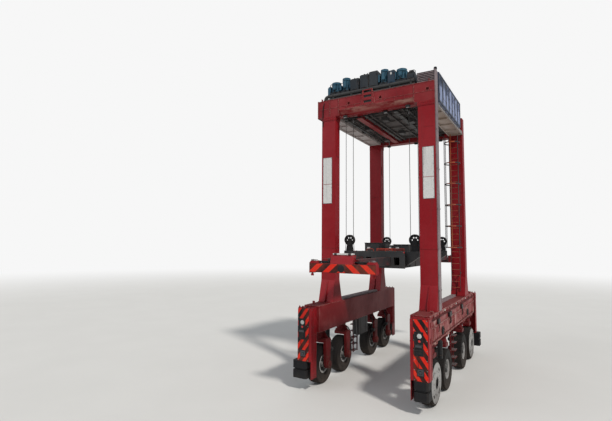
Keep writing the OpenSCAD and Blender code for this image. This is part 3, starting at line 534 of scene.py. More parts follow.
def hoseIn(bm, points, radius, fine=2, steps=6):
    curve = bpy.data.curves.new("hosePath", "CURVE")
    curve.dimensions, curve.use_fill_caps = "3D", True
    curve.bevel_depth, curve.bevel_resolution, curve.resolution_u = radius, fine, steps
    spline = curve.splines.new("BEZIER")
    spline.bezier_points.add(len(points) - 1)
    for place, point in zip(points, spline.bezier_points):
        point.co = place
        point.handle_left_type = point.handle_right_type = "AUTO"
    holder = bpy.data.objects.new("hosePath", curve)
    mesh = bpy.data.meshes.new_from_object(holder)
    bm.from_mesh(mesh)
    bpy.data.objects.remove(holder)
    bpy.data.curves.remove(curve)
    bpy.data.meshes.remove(mesh)


# Ropes are spun and open at their ends, so they are closed and their faces turned outwards
def makePiece(name, bm, finish, body, slotName=None, sharp=32.0, spun=False):
    bmesh.ops.remove_doubles(bm, verts=bm.verts, dist=1e-5)
    if spun:
        bmesh.ops.holes_fill(bm, edges=[edge for edge in bm.edges if edge.is_boundary], sides=0)
        bmesh.ops.recalc_face_normals(bm, faces=bm.faces)
    mesh = bpy.data.meshes.new(name)
    bm.to_mesh(mesh)
    bm.free()
    mesh.shade_smooth()
    mesh.set_sharp_from_angle(angle=radians(sharp))
    mesh.materials.append(materials[finish])
    piece = bpy.data.objects.new(name, mesh)
    scene.collection.objects.link(piece)
    if body:
        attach(piece, body)
    slotName or slotOf[finish]
    return piece


# Adds what is in one mesh under construction to another, once for each place
def pour(part, bm, places=((0, 0, 0),)):
    mesh = bpy.data.meshes.new("part")
    part.to_mesh(mesh)
    part.clear()
    for place in places:
        copyIn(bm, mesh, Matrix.Translation(place))
    bpy.data.meshes.remove(mesh)


# A piece made of simple shapes. Blocks and posts are boxes and rods given by their start and reach.
# Flips are the signs of x and y at which all of it is drawn again
def fit(name, finish, boxes=(), blocks=(), rods=(), posts=(), bolts=(), rings=(), loops=(), hoses=(),
        body="portal", slot=None, flips=((1, 1),), shift=(0, 0, 0)):
    bm, part = bmesh.new(), bmesh.new()
    boxes = each([*boxes]) + [(low, moved(low, size), *more) for low, size, *more in each([*blocks])]
    rods = each([*rods]) + [(start, moved(start, reach), *more) for start, reach, *more in each([*posts])]
    for flip in flips:
        def at(point, shifted=1):
            return Vector((flip[0] * point[0], flip[1] * point[1], point[2])) + Vector(shift) * shifted

        def boxBetween(bm, low, high, *more):
            ends = list(zip(at(low), at(high)))
            boxIn(bm, [min(pair) for pair in ends], [max(pair) for pair in ends], *more)

        jobs = [(boxBetween, box) for box in boxes]
        jobs += [(rodIn, (at(start), at(end), *more)) for start, end, *more in rods]
        for draw, specs in ((boltIn, bolts), (boltRing, rings), (ringIn, loops)):
            jobs += [(draw, (at(place), at(toward, 0), *more)) for place, toward, *more in each([*specs])]
        jobs += [(hoseIn, ([at(point) for point in points], *more)) for points, *more in each([*hoses])]
        for count, (draw, values) in enumerate(jobs, 1):
            draw(part, *values)
            if count % 16 == 0 or count == len(jobs):
                pour(part, bm)
    part.free()
    return makePiece(name, bm, finish, body, slot)


bothSides, bothEnds = ((-1, 1), (1, 1)), ((1, 1), (-1, -1))
corners = ((-1, -1), (1, -1), (-1, 1), (1, 1))
wheels = [(row, y, label, side)
          for row, y in wheelRows.items() for label, side in (("left", -1), ("right", 1))]
up, down, ahead, back, left, right = (0, 0, 1), (0, 0, -1), (0, -1, 0), (0, 1, 0), (-1, 0, 0), (1, 0, 0)


# Wheels: treaded tyres, wheel nuts and valves

wheelSizes = {
    "steps": 72, "rows": (-0.166, -0.098, -0.033, 0.033, 0.098, 0.166), "base": 0.739, "block": 0.019,
    "gap": 0.006, "zigzag": 0.30,     # share of a step by which the tread's rows lean
    "wall": ((0.1663, 0.3183), (0.1663, 0.3603), (0.1763, 0.3883), (0.205, 0.440), (0.2105, 0.452),
             (0.2065, 0.457), (0.2075, 0.468), (0.2125, 0.473), (0.2150, 0.518), (0.2150, 0.585),
             (0.2110, 0.590), (0.2105, 0.600), (0.2135, 0.605), (0.2100, 0.660), (0.2040, 0.700),
             (0.1880, 0.729)),
    "hub": hubHeight, "across": 2.19, "valve": (0.262, 1.1),
}


def makeTyreShape(v):
    bm = bmesh.new()
    profile = ([(-x, 0, r) for x, r in v["wall"]] + [(x, 0, v["base"]) for x in v["rows"]] +
               [(x, 0, r) for x, r in reversed(v["wall"])])
    spinIn(bm, profile, (0, 0, 0), right, v["steps"])
    bmesh.ops.remove_doubles(bm, verts=bm.verts, dist=1e-5)
    bmesh.ops.recalc_face_normals(bm, faces=bm.faces)
    for index, x in enumerate(v["rows"]):
        line = [p for p in bm.verts if abs(p.co.x - x) < 1e-4 and p.co.yz.length > v["base"] - 0.002]
        lean = tau / v["steps"] * v["zigzag"] * (1 if index % 2 else -1)
        bmesh.ops.rotate(bm, verts=line, cent=(0, 0, 0), matrix=Matrix.Rotation(lean, 3, "X"))
    tread = [f for f in bm.faces if f.calc_center_median().yz.length > 0.71]
    bmesh.ops.inset_individual(bm, faces=tread, thickness=v["gap"], depth=v["block"], use_even_offset=True)
    return bm


tyreShape = makeTyreShape(wheelSizes)


def makeWheel(v, row, y, label, side):
    tag = f"{row}_{label}"
    bm = tyreShape.copy()
    bmesh.ops.transform(bm, verts=bm.verts, matrix=Matrix.Translation((side * v["across"], y, v["hub"])))
    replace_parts(makePiece(f"treaded_tyre_{tag}", bm, "tyreRubber", f"wheel_{tag}", sharp=40), f"tyre_{tag}")

    def hub(out):
        return (v["across"] + out, y, v["hub"])

    rings = [(hub(0.052), right, 0.212, 16, 0.030), (hub(0.178), right, 0.078, 8, 0.018, 0.2)]
    hoses = []
    if row in ("front", "rear"):    # these have a round guard
        rings += [(hub(0.2385), right, 0.385, 12, 0.024, 0.13), (hub(0.2275), right, 0.640, 24, 0.016, 0.06),
                  (hub(0.252), right, 0.215, 12, 0.016)]
    else:
        reach, angle = v["valve"]
        rings += [(hub(0.1095), right, 0.130, 12, 0.018, 0.1)]
        stem = moved(hub(0.078), (0, reach * cos(angle), reach * sin(angle)))
        hoses = [((stem, moved(stem, (0.03, 0.01, 0.02)), moved(stem, (0.07, 0.012, 0.03))), 0.006)]
    fit(f"wheel_nuts_{tag}", "zinc", rings=rings, rods=[(hub(0.176), hub(0.196), 0.048, 24, 0.004)],
        hoses=hoses, body=f"wheel_{tag}", slot="rim_grey", flips=((side, 1),))


for wheel in wheels:
    makeWheel(wheelSizes, *wheel)
print("wheels")


# Half forks: flange bolts, arm covers, brake chambers and their hoses

def makeForkFittings(row, y, label, side):
    # the brake chamber lies on the side turned to the machine's middle
    shared = {"body": f"knuckle_{row}_{label}", "flips": ((side, 1 if y < 0 else -1),), "shift": (0, y, 0)}
    fit(f"fork_fittings_{row}_{label}", "forkRed", **shared,
        boxes=[((1.790, -0.13, 1.05), (1.801, 0.13, 1.36), 0.003),
               ((1.790, -0.10, 0.965), (1.801, 0.10, 1.03), 0.003)],
        blocks=[(([2.05, 2.24], [-0.182, 0.158], 1.755), (0.10, 0.024, 0.085), 0.01),
                ((1.80, [-0.156, 0.144], 0.95), (0.12, 0.012, 0.65), 0.004)],
        posts=[((1.745, 0, hubHeight), (-0.02, 0, 0), 0.125, 32, 0.004),
               ((1.727, 0, hubHeight), (-0.022, 0, 0), 0.06, 24, 0.004)],
        rings=[((2.19, 0, 2.000), down, 0.200, 16, 0.026), ((1.726, 0, hubHeight), left, 0.095, 10, 0.022)],
        bolts=[((1.791, around(0, 0.105), [1.08, 1.205, 1.33]), left, 0.022)])
    x, z = 1.86, 1.28
    hose = ((x, 0.34, 1.36), (x, 0.36, 1.47), (1.87, 0.31, 1.66), (1.95, 0.22, 1.86), (2.03, 0.10, 1.97))
    fit(f"brake_{row}_{label}", "machineBlack", **shared,
        posts=[((x, 0.215, z), (0, 0.185, 0), 0.085, 28, 0.015),
               ((x, 0.295, z), (0, 0.023, 0), 0.096, 28, 0.004), ((x, 0.15, z), (0, 0.07, 0), 0.02, 12),
               ((x, 0.40, z), (0, 0.015, 0), 0.035, 16, 0.003)],
        rings=[((x, 0.318, z), back, 0.088, 8, 0.010)], boxes=[((1.825, 0.14, 1.235), (1.895, 0.20, 1.325))],
        hoses=[(beside(hose, -0.02, 0.02), 0.013)])


for wheel in wheels:
    makeForkFittings(*wheel)
print("forks")


# Corner boards: lamps, sensor panels, bolts and brackets

boardSizes = {"face": -4.760, "low": 1.10, "high": 3.07, "inner": 1.99, "outer": 2.47, "inset": 0.035}


# The panels sit towards the machine's left on both boards of an end, as the front shows it
def makeBoardFittings(v, end, turn, label, side):
    face, low, high = v["face"], v["low"] + v["inset"], v["high"] - v["inset"]

    def x(share):
        return side * v["inner" if side > 0 else "outer"] + share * (v["outer"] - v["inner"])

    def add(kind, finish, boxes=(), rods=(), **shapes):
        fit(f"board_{kind}_{end}_{label}", finish, flips=((turn, turn),),
            boxes=[((x(a), face - out, z), (x(b), face - seat, top), bevel)
                   for a, b, z, top, out, seat, bevel in boxes],
            rods=[((x(share), face - seat, z), (x(share), face - out, z), *more)
                  for share, z, seat, out, *more in rods], **shapes)

    add("bolts", "zinc", bolts=[(([x(0.06), x(0.94)], face, spread(low, high, 7)), ahead, 0.020)])
    add("panel", "machineBlack",
        boxes=[(0.06, 0.70, 1.90, 2.68, 0.016, 0, 0.008), (0.24, 0.74, 1.26, 1.51, 0.014, 0, 0.010),
               (0.12, 0.64, 2.155, 2.27, 0.030, 0.010, 0.010),
               (0.12, 0.68, 2.045, 2.085, 0.026, 0.012, 0.005),
               (0.18, 0.58, 1.93, 2.01, 0.024, 0.010, 0.006)],
        loops=[((x(0.44), face - 0.020, 2.54), ahead, 0.092, 0.010),
               ((x(0.44), face - 0.018, 2.375), ahead, 0.048, 0.008)],
        rods=[(0.49, 1.385, 0.010, 0.028, 0.062, 28, 0.004)],
        hoses=[(((x(0.30), face - 0.012, 1.92), (x(0.30), face - 0.022, 1.80), (x(0.36), face - 0.022, 1.62),
                 (x(0.36), face - 0.012, 1.49)), 0.009)])
    add("lamp", "lampGlass", rods=[(0.44, 2.54, 0.006, 0.028, 0.080, 36, 0.010)])
    add("tail_lamp", "redLens", rods=[(0.44, 2.375, 0.006, 0.026, 0.044, 28, 0.006)])
    add("scanner", "darkGlass",
        boxes=[(0.28, 0.70, 1.285, 1.485, 0.020, 0.012, 0.006),
               (0.16, 0.60, 2.175, 2.25, 0.034, 0.028, 0.004)],
        rods=[(0.49, 1.385, 0.020, 0.034, 0.046, 28, 0.006)])


for end, turn in (("front", 1), ("rear", -1)):
    for label, side in (("left", -1), ("right", 1)):
        makeBoardFittings(boardSizes, end, turn, label, side)

fit("column_fittings", "portalRed", flips=corners,
    blocks=[(([1.96, 2.12, 2.30, 2.44], -4.70, 3.065), (0.035, 0.08, 0.065), 0.008),
            ((1.86, [-4.628, -4.428], 1.10), (0.022, 0.016, 1.96), 0.004),
            ((2.492, -4.47, 1.12), (0.008, 0.04, 1.93), 0.003),
            ((1.868, -4.74, [1.52, 2.32]), (0.016, 0.34, 0.04), 0.004)],
    bolts=[(([1.977, 2.137, 2.317, 2.457], -4.66, 3.13), up, 0.022)])
fit("column_bolts", "zinc", flips=corners,
    bolts=[((1.884, [-4.70, -4.45], spread(0.55, 3.0, 9)), left, 0.016)])
print("corner boards")


# Legs: collar bolts, foot plates, covers and conduits

legSizes = {"inner": 1.77, "outer": 2.41, "half": 0.21, "collar": 0.014, "foot": sideBeamTop,
            "straps": [5.35, 8.05], "covers": (4.45, 9.25)}


def makeLegFittings(v, row, y, top):
    inner, outer, foot, straps = v["inner"], v["outer"], v["foot"], v["straps"]
    width, collar = outer - inner, [top - 0.045, top - 0.125]
    blocks, bolts = [], []
    for s in (-1, 1):
        bolts += [((spread(inner + 0.05, outer - 0.05, 7), y + s * (v["half"] + v["collar"]), collar),
                   (0, s, 0), 0.026),
                  ((spread(1.82, 2.36, 6), y + s * 0.484, foot + 0.028), up, 0.026)]
        blocks += [((inner, y + s * 0.48 - 0.03, foot), (width, 0.06, 0.028), 0.004),
                   ((inner + 0.004, y + s * 0.2125 - 0.0045, straps), (width - 0.008, 0.009, 0.022), 0.003)]
    blocks += [(([inner - 0.007, outer - 0.002], y - 0.206, straps), (0.009, 0.412, 0.022), 0.003),
               ((outer - 0.001, y - 0.44, foot), (0.027, 0.88, 0.028), 0.004),
               ((inner - 0.014, y - 0.13, [*v["covers"]]), (0.014, 0.26, 0.46), 0.006)]
    bolts += [((inner - 0.013, around(y, 0.105),
                [z + rise for z in v["covers"] for rise in (0.03, 0.16, 0.30, 0.43)]),
               left, 0.018),
              ((inner - v["collar"], spread(y - 0.16, y + 0.16, 4), collar), left, 0.026)]
    fit(f"leg_fittings_{row}", "portalRed", blocks=blocks, bolts=bolts, flips=bothSides)


makeLegFittings(legSizes, "front", -2.80, frontBeamLow)
makeLegFittings(legSizes, "rear", 2.62, rearBeamLow)

clamps = spread(3.9, 10.3, 8)
fit("leg_conduits", "zinc", flips=bothSides,
    posts=[(([1.86, 1.93], -2.565, 3.20), (0, 0, 7.66), 0.021, 14),
           (([1.90, 2.30], 2.86, 3.20), (0, 0, 7.50), 0.025, 14)],
    blocks=[((1.82, -2.592, clamps), (0.15, 0.052, 0.035)),
            (([1.86, 2.26], 2.828, clamps), (0.08, 0.060, 0.035))])
fit("leg_boxes", "machineGrey", flips=bothSides,
    boxes=[((1.99, -2.592, 4.30), (2.27, -2.46, 4.72), 0.010),
           ((2.02, -2.592, 3.72), (2.20, -2.49, 3.95), 0.008),
           ((2.02, 2.828, 4.10), (2.20, 2.93, 4.42), 0.008),
           ((2.00, -2.592, 9.90), (2.22, -2.47, 10.20), 0.008)],
    hoses=[(((2.05, -2.53, 4.31), (2.04, -2.53, 4.18), (1.97, -2.55, 4.06), (1.93, -2.565, 3.96)), 0.014),
           (((2.12, -2.53, 4.31), (2.12, -2.53, 4.15), (2.11, -2.53, 3.94)), 0.012),
           (((2.11, 2.88, 4.11), (2.11, 2.88, 3.86), (1.98, 2.87, 3.70), (1.91, 2.86, 3.55)), 0.014)])
print("legs")


# Front cross beam: bolts, work lamps and cable loops

beamSizes = {"left": -2.60, "right": 2.41, "face": -3.01, "low": frontBeamLow, "high": 11.735,
             "lamps": (([-1.35, 1.35], -2.90, frontBeamLow), ([-1.35, 0.1, 1.35], 2.55, rearBeamLow),
                       (0.35, -2.66, frontBeamLow))}


def makeBeamFittings(v):
    face, low, high = v["face"], v["low"], v["high"]
    fit("beam_fittings", "beamRed",
        boxes=[((v["left"], face - 0.012, high - 0.024), (v["right"], face, high), 0.004),
               ((v["left"], face - 0.010, low + 0.36), (-0.62, face, low + 0.378), 0.004),
               ((0.06, face - 0.010, low + 0.36), (v["right"], face, low + 0.378), 0.004)],
        blocks=[(([-1.261, -0.861, 0.439, 0.839, 1.239], face - 0.016, low + 0.24),
                 (0.022, 0.016, 0.12), 0.004),
                (([-2.465, 2.185], -2.99, high), (0.03, 0.12, 0.12), 0.03)],
        bolts=[(([-2.03, -1.62, 1.62], face - 0.014, spread(low + 0.05, high - 0.05, 9)), ahead, 0.022),
               (([-0.505, -0.075], face - 0.030, [low + 0.29, low + 0.50, low + 0.71, high + 0.04]),
                ahead, 0.030)],
        loops=[(([-1.15, 0.26, 2.15], face - 0.002, low + 0.462), ahead, 0.063, 0.008, 32)])
    # Dark sheets in the bracket's slots: painted shade where the beam's red would show through
    fit("bracket_slots", "machineBlack", blocks=[
        ((-0.455, face - 0.004, [low + 0.341, low + 0.561]), (0.334, 0.005, 0.098), 0.001),
        ((-0.455, face - 0.004, high + 0.016), (0.334, 0.005, 0.024), 0.001)])
    lamps = each([*v["lamps"]])
    parts = [((-0.08, -0.06, -0.10), (0.16, 0.12, 0.07), 0.012),
             (([-0.093, 0.083], -0.02, -0.085), (0.01, 0.04, 0.085), 0.003),
             ((-0.07, spread(-0.05, 0.04, 6), -0.036), (0.14, 0.006, 0.018), 0)]
    fit("work_lamps", "machineBlack",
        blocks=[(moved(lamp, place), size, bevel) for lamp in lamps for place, size, bevel in each(parts)])
    fit("work_lamp_lenses", "darkGlass", blocks=[
        (moved(lamp, (-0.066, -0.046, -0.106)), (0.132, 0.092, 0.008), 0.004) for lamp in lamps])


makeBeamFittings(beamSizes)
fit("beam_cables", "hoseBlack", hoses=[
    (((-2.29, -2.92, 11.76), (-2.30, -2.99, 11.66), (-2.34, -3.026, 11.45), (-2.36, -3.026, 11.02),
      (-2.36, -3.024, 10.60)), 0.020),
    (((-1.5, -2.60, 10.97), (-0.9, -2.58, 10.90), (-0.2, -2.60, 10.965), (0.5, -2.59, 10.91),
      (1.2, -2.60, 10.97)), 0.018),
    (((-1.5, -2.56, 10.975), (-0.6, -2.55, 10.93), (0.4, -2.56, 10.96), (1.2, -2.55, 10.975)), 0.014)])
print("beam")


# Side beams: ledge bolts, service boxes, conduits, lamps, tank and cable trays

sillSizes = {"high": sideBeamTop, "web": 2.414, "ledge": 2.68, "pitch": 0.84}


def makeSillFittings(v):
    ribs = [(i + 0.5) * v["pitch"] for i in range(-5, 5)]
    plates = [i * v["pitch"] for i in range(-3, 5, 2)]
    web, high, ledge = v["web"], v["high"], v["ledge"]
    fit("side_beam_bolts", "sillRed", flips=bothSides,
        blocks=[((2.30, [-3.77, 3.73], high), (0.11, 0.04, 0.10), 0.03),
                ((web - 0.002, [y - 0.20 for y in plates], 2.24), (0.012, 0.40, 0.32), 0.02),
                ((web - 0.002, [y - 0.008 for y in ribs[1:-1:2]], ledge + 0.028),
                 (0.024, 0.016, high - ledge - 0.056), 0.002)],
        bolts=[((web + 0.009, [y + dy for y in plates for dy in (-0.17, 0, 0.17)], around(2.40, 0.13)),
                right, 0.020),
               ((2.45, spread(-4.2, 4.2, 43), ledge + 0.028), up, 0.012)],
        rings=[((2.19, [*wheelRows.values()], 2.0958), down, 0.265, 16, 0.022)])
    fit("side_beam_pipes", "forkRed", flips=bothSides,
        posts=[((web + 0.022, -4.1, z), (0, 8.2, 0), radius, 12)
               for z, radius in ((2.98, 0.018), (2.93, 0.014), (2.215, 0.016))]
        + [((web + 0.016, ribs, 2.955), (0, 0, 0.135), 0.012, 10)],
        blocks=[((web - 0.002, [y - 0.018 for y in ribs], z), (reach, 0.036, height), 0.004)
                for z, reach, height in ((2.905, 0.048, 0.10), (2.19, 0.046, 0.05))])
    tails = [-1.42, -1.34, -1.22, 1.08, 1.18, -3.2]
    fit("side_beam_boxes", "machineBlack", flips=bothSides,
        boxes=[((web, -1.52, 2.725), (2.492, -1.10, 2.90), 0.012),
               ((web, 0.98, 2.725), (2.485, 1.30, 2.90), 0.012),
               ((web, -3.30, 2.725), (2.48, -3.02, 2.89), 0.010)],
        hoses=[(((2.46, y, 2.73), (2.475, y + 0.01, 2.62), (2.47, y + 0.06, 2.50), (2.43, y + 0.10, 2.42)),
                0.011)
               for y in tails])
    fit("hose_reels", "machineBlack", flips=bothSides,
        posts=[((web, [-2.52, 2.52], 2.39), (0.058, 0, 0), 0.045, 20, 0.004)],
        loops=[((2.444, [-2.52, 2.52], 2.39), right, [0.085, 0.112, 0.139], 0.014, 36),
               ((2.462, [-2.52, 2.52], 2.39), right, [0.098, 0.125], 0.012, 36)])
    fit("side_lamps", "lampGlass", flips=bothSides,
        blocks=[((web, [-2.15, -0.05, 2.05], 3.035), (0.034, 0.10, 0.05), 0.008)])
    joints = spread(-2.2, 1.95, 8)
    fit("cable_trays", "ductGrey", flips=bothSides,
        blocks=[((1.84, joints[:-1], high), (0.20, joints[1] - joints[0] - 0.01, 0.09), 0.006),
                ((1.825, [y - 0.03 for y in joints], high), (0.23, 0.05, 0.012), 0.002)],
        bolts=[(([1.87, 2.01], [y + 0.06 for y in joints[:-1]], high + 0.09), up, 0.016)])


makeSillFittings(sillSizes)
x, y = 2.335, -2.58
fit("air_tank", "machineBlack", flips=((1, 1), (-1, 1)),
    rods=[((x, y, 1.36), (x, y, 2.02), 0.095, 32, 0.035)],
    loops=[((x, y, [1.50, 1.88]), up, 0.097, 0.007, 40)],
    boxes=[((2.32, -2.49, 1.86), (2.35, -2.46, 2.13), 0.003),
           ((2.30, -2.60, 2.01), (2.37, -2.56, 2.13), 0.003)],
    hoses=[(((x, y, 2.02), (2.30, -2.55, 2.08), (2.24, -2.50, 2.12)), 0.010),
           (((x, y, 1.36), (x, y, 1.31), (2.31, y, 1.28)), 0.012)])
print("side beams")


# Hoist machinery: motors, gearboxes, cabinets, pipe, drum and ropes

machine = {
    # place across, radius and top of each upright motor
    "motors": ((-1.90, 0.215, 12.575), (-1.42, 0.18, 12.695), (0.315, 0.165, 12.715), (1.04, 0.215, 12.575)),
    # edges across and top of each cabinet
    "cabinets": ((-1.16, -0.77, 12.56), (-0.72, -0.33, 12.645), (-0.31, 0.08, 12.705), (0.50, 0.81, 12.575),
                 (1.29, 1.61, 12.305)),
    "y": -2.62, "front": -2.81, "back": -2.43, "bed": 11.775, "gear": 12.15, "pipe": (-2.92, 11.92),
    "stands": [-1.90, -1.05, -0.20, 0.65, 1.50],
}


def makeMotorFittings(v):
    y, gear, (pipeY, pipeZ) = v["y"], v["gear"], v["pipe"]
    lids, bolts, glands, hoses, loops, rings = [], [], [], [], [], []
    for x, r, top in v["motors"]:
        face = y - r - 0.03
        lids += [((x - 0.062, face - 0.012, gear + 0.105), (0.124, 0.012, top - gear - 0.27), 0.006),
                 ((x - 0.04, face + 0.01, gear + 0.06), (0.08, 0.04, 0.04), 0.004)]
        bolts += [((around(x, 0.052), face - 0.011, [gear + 0.12, top - 0.18]), ahead, 0.012)]
        glands += [((around(x, 0.025), face + 0.03, gear + 0.075), (0, 0, -0.045), 0.014, 6)]
        hoses += [(((x + dx, face + 0.03, gear + 0.04), (x + dx, face + 0.01, gear - 0.03),
                    (x + dx, -2.905, gear - 0.10), (x + dx * 1.4, pipeY, pipeZ + 0.055)), 0.011)
                  for dx in (-0.025, 0.025)]
        loops += [((x + (r + 0.008) * cos(turn), y + (r + 0.008) * sin(turn), top - 0.15),
                   (-sin(turn), cos(turn), 0), 0.024, 0.007, 20) for turn in (0.6, 2.5)]
        if top < 12.70:     # the grid over the fan
            loops += [((x, y, top + 0.001), up, spread(0.05, r - 0.045, 5), 0.005, 36)]
            reach = r - 0.045
            lids += [((x - reach, y - 0.006, top - 0.004), (2 * reach, 0.012, 0.008), 0.001),
                     ((x - 0.006, y - reach, top - 0.004), (0.012, 2 * reach, 0.008), 0.001)]
        loops += [((x, y, top - 0.108), up, r - 0.006, 0.006, 48),
                  ((x, y, gear + 0.042), up, r - 0.014, 0.006, 48)]
        rings += [((x, y, gear + 0.040), up, r - 0.022, 12, 0.014)]
    fit("motor_fittings", "motorBlue", blocks=lids, loops=loops, bolts=bolts, rings=rings)
    fit("motor_hoses", "hoseBlack", posts=glands, hoses=hoses)


def makeCabinetFittings(v):
    front, rear, bed, gear, (pipeY, pipeZ) = v["front"], v["back"], v["bed"], v["gear"], v["pipe"]
    boxes, bolts, handles, hoses = [], [], [], []
    for a, b, top in v["cabinets"]:
        middle = (a + b) / 2
        boxes += [((a + 0.02, [front - 0.010, rear], bed + 0.05), (b - a - 0.04, 0.010, top - bed - 0.11),
                   0.005),
                  ((a + 0.07, front - 0.022, spread(bed + 0.12, bed + 0.30, 6)), (b - a - 0.14, 0.016, 0.014),
                   0.003)]
        handles += [((b - 0.055, front - 0.026, top - 0.20), (0.020, 0.018, 0.09), 0.004),
                    ((a + 0.010, front - 0.018, [bed + 0.10, top - 0.16]), (0.020, 0.018, 0.06), 0.003)]
        if top < 12.68:
            bolts += [(([a + 0.06, b - 0.06], [front + 0.06, rear - 0.06], top), up, 0.018)]
        lead = ((middle, front + 0.02, bed + 0.02), (middle, front - 0.03, bed + 0.06),
                (middle, pipeY + 0.05, pipeZ + 0.03))
        hoses += [(beside(lead, -0.05, 0.0, 0.05), 0.012)]
    low = front + 0.01
    for x, r, _ in v["motors"]:
        boxes += [((x - r + 0.03, low - 0.012, bed + 0.06), (2 * r - 0.06, 0.012, gear - bed - 0.16), 0.008),
                  (([x - r - 0.015, x + r + 0.001], low - 0.016, bed + 0.03),
                   (0.014, 0.376, gear - bed - 0.09), 0.003)]
        bolts += [((spread(x - r + 0.055, x + r - 0.055, 4), low - 0.011, [bed + 0.09, gear - 0.13]),
                   ahead, 0.016),
                  ((x + r * 0.4, low - 0.010, bed + 0.17), ahead, 0.034)]
    fit("cabinet_doors", "cabinetGrey", blocks=boxes, bolts=bolts)
    fit("cabinet_handles", "machineBlack", blocks=handles, hoses=hoses)
    fit("cabinet_plates", "plateWhite",
        [((0.615, front - 0.013, 12.39), (0.68, front - 0.009, 12.48), 0.001)])


def makePipeFittings(v):
    (y, z), bed, stands = v["pipe"], v["bed"], v["stands"]
    fit("pipe_fittings", "machineBlack",
        loops=[(([-2.12, *stands], y, z), right, 0.073, 0.009, 32),
               ((-2.29, y, bed - 0.01), up, 0.073, 0.012, 32)],
        rings=[((1.64, y, z), right, 0.066, 8, 0.018)],
        boxes=[((-2.20, -3.008, 11.735), (1.68, -2.996, 11.79), 0.002)],
        blocks=[(([x - 0.045 for x in stands], y - 0.05, bed - 0.001), (0.09, 0.10, 0.010), 0.002)],
        bolts=[((spread(-2.15, 1.62, 18), -2.985, bed), up, 0.016),
               ((spread(-2.15, 1.62, 14), -1.87, bed), up, 0.016)])


# Terminal boxes, brakes and a guard sheet that close the row of motors and cabinets
def makePlant(v):
    y = v["y"]
    fit("terminal_boxes", "motorBlue",
        blocks=[((x, y + dy, z), size, bevel) for x, dy, z, size, bevel in (
            (-2.27, -0.15, 12.02, (0.14, 0.27, 0.38), 0.02), (-2.24, -0.12, 12.40, (0.09, 0.20, 0.04), 0.01),
            (-1.70, -0.17, 12.17, (0.11, 0.15, 0.23), 0.015),
            (-1.235, -0.15, 12.20, (0.07, 0.25, 0.26), 0.012),
            (0.075, -0.16, 12.18, (0.08, 0.26, 0.32), 0.012), (0.81, -0.17, 12.16, (0.04, 0.25, 0.30), 0.010),
            (1.24, -0.17, 12.10, (0.07, 0.27, 0.32), 0.012))],
        posts=[((-2.195, y, 12.44), (0, 0, 0.03), 0.05, 28, 0.008),
               ((0.655, y, 12.60), (0, 0, 0.03), 0.05, 28, 0.008),
               ((0.655, y + 0.06, 12.575), (0, 0, 0.085), 0.075, 28, 0.012)])
    fit("drum_guard", "machineBlack",
        boxes=[((-2.06, -2.4035, 11.78), (1.60, -2.3985, 12.30), 0.001),
               ((-2.06, -2.412, 12.28), (1.60, -2.3985, 12.30), 0.002)],
        blocks=[(([-2.02, -1.20, -0.325, 0.10, 0.825, 1.57], -2.414, 11.78), (0.03, 0.0105, 0.51), 0.002)])
    fit("top_cables", "hoseBlack",
        blocks=[((x, y - 0.03, z), (0.06, 0.06, 0.035), 0.008) for x, z in (
            ([-1.09, -0.91], 12.56), ([-0.65, -0.48], 12.645))]
        + [((1.32, y - 0.16, 12.305), (0.26, 0.30, 0.055), 0.012),
           ((1.36, y - 0.10, 12.36), (0.14, 0.18, 0.08), 0.012)],
        posts=[((x, y - 0.10, z), (0, 0, 0.05), 0.022, 14, 0.004) for x, z in (
            (-1.00, 12.56), ([-0.55, -0.40], 12.645), (1.53, 12.36))],
        hoses=[(((x, y + dy, z), (x + 0.02, y + dy, z + 0.03), (x + 0.14, y + dy + 0.01, z + 0.028),
                 (x + reach, y + dy, drop)), 0.013) for x, z, reach, drop, dy in (
            (-1.06, 12.58, 0.30, 12.50, 0.0), (-0.88, 12.58, 0.20, 12.60, 0.05),
            (-0.62, 12.65, 0.33, 12.60, -0.05), (-0.45, 12.65, 0.20, 12.64, 0.06),
            (1.42, 12.42, 0.16, 12.30, 0.0))]
        + [(tuple((x, y + dy, z) for x, dy, z in points), radius) for radius, *points in (
            (0.014, (-2.20, 0, 12.44), (-2.19, -0.03, 12.53), (-2.08, -0.03, 12.56), (-1.99, -0.02, 12.50)),
            (0.012, (-1.66, -0.10, 12.39), (-1.65, -0.10, 12.47), (-1.58, -0.10, 12.50),
             (-1.54, -0.08, 12.44)),
            (0.014, (-2.25, -0.10, 12.05), (-2.30, -0.12, 12.00), (-2.31, -0.16, 11.90),
             (-2.28, -0.20, 11.80)))])


for make in (makeMotorFittings, makeCabinetFittings, makePlant, makePipeFittings):
    make(machine)

drum = {"y": -2.145, "z": 12.055, "radius": 0.200, "pitch": 0.040, "turns": 15,
        "starts": [-1.72, -1.02, 0.10, 0.80], "rope": 0.0125, "flanges": ((-1.803, left), (1.453, right)),
        "pedestals": ((-1.916, left), (1.566, right)), "steps": 24,
        "gap": 4e-6}     # the gap keeps the end of a turn off its start until the turns are joined


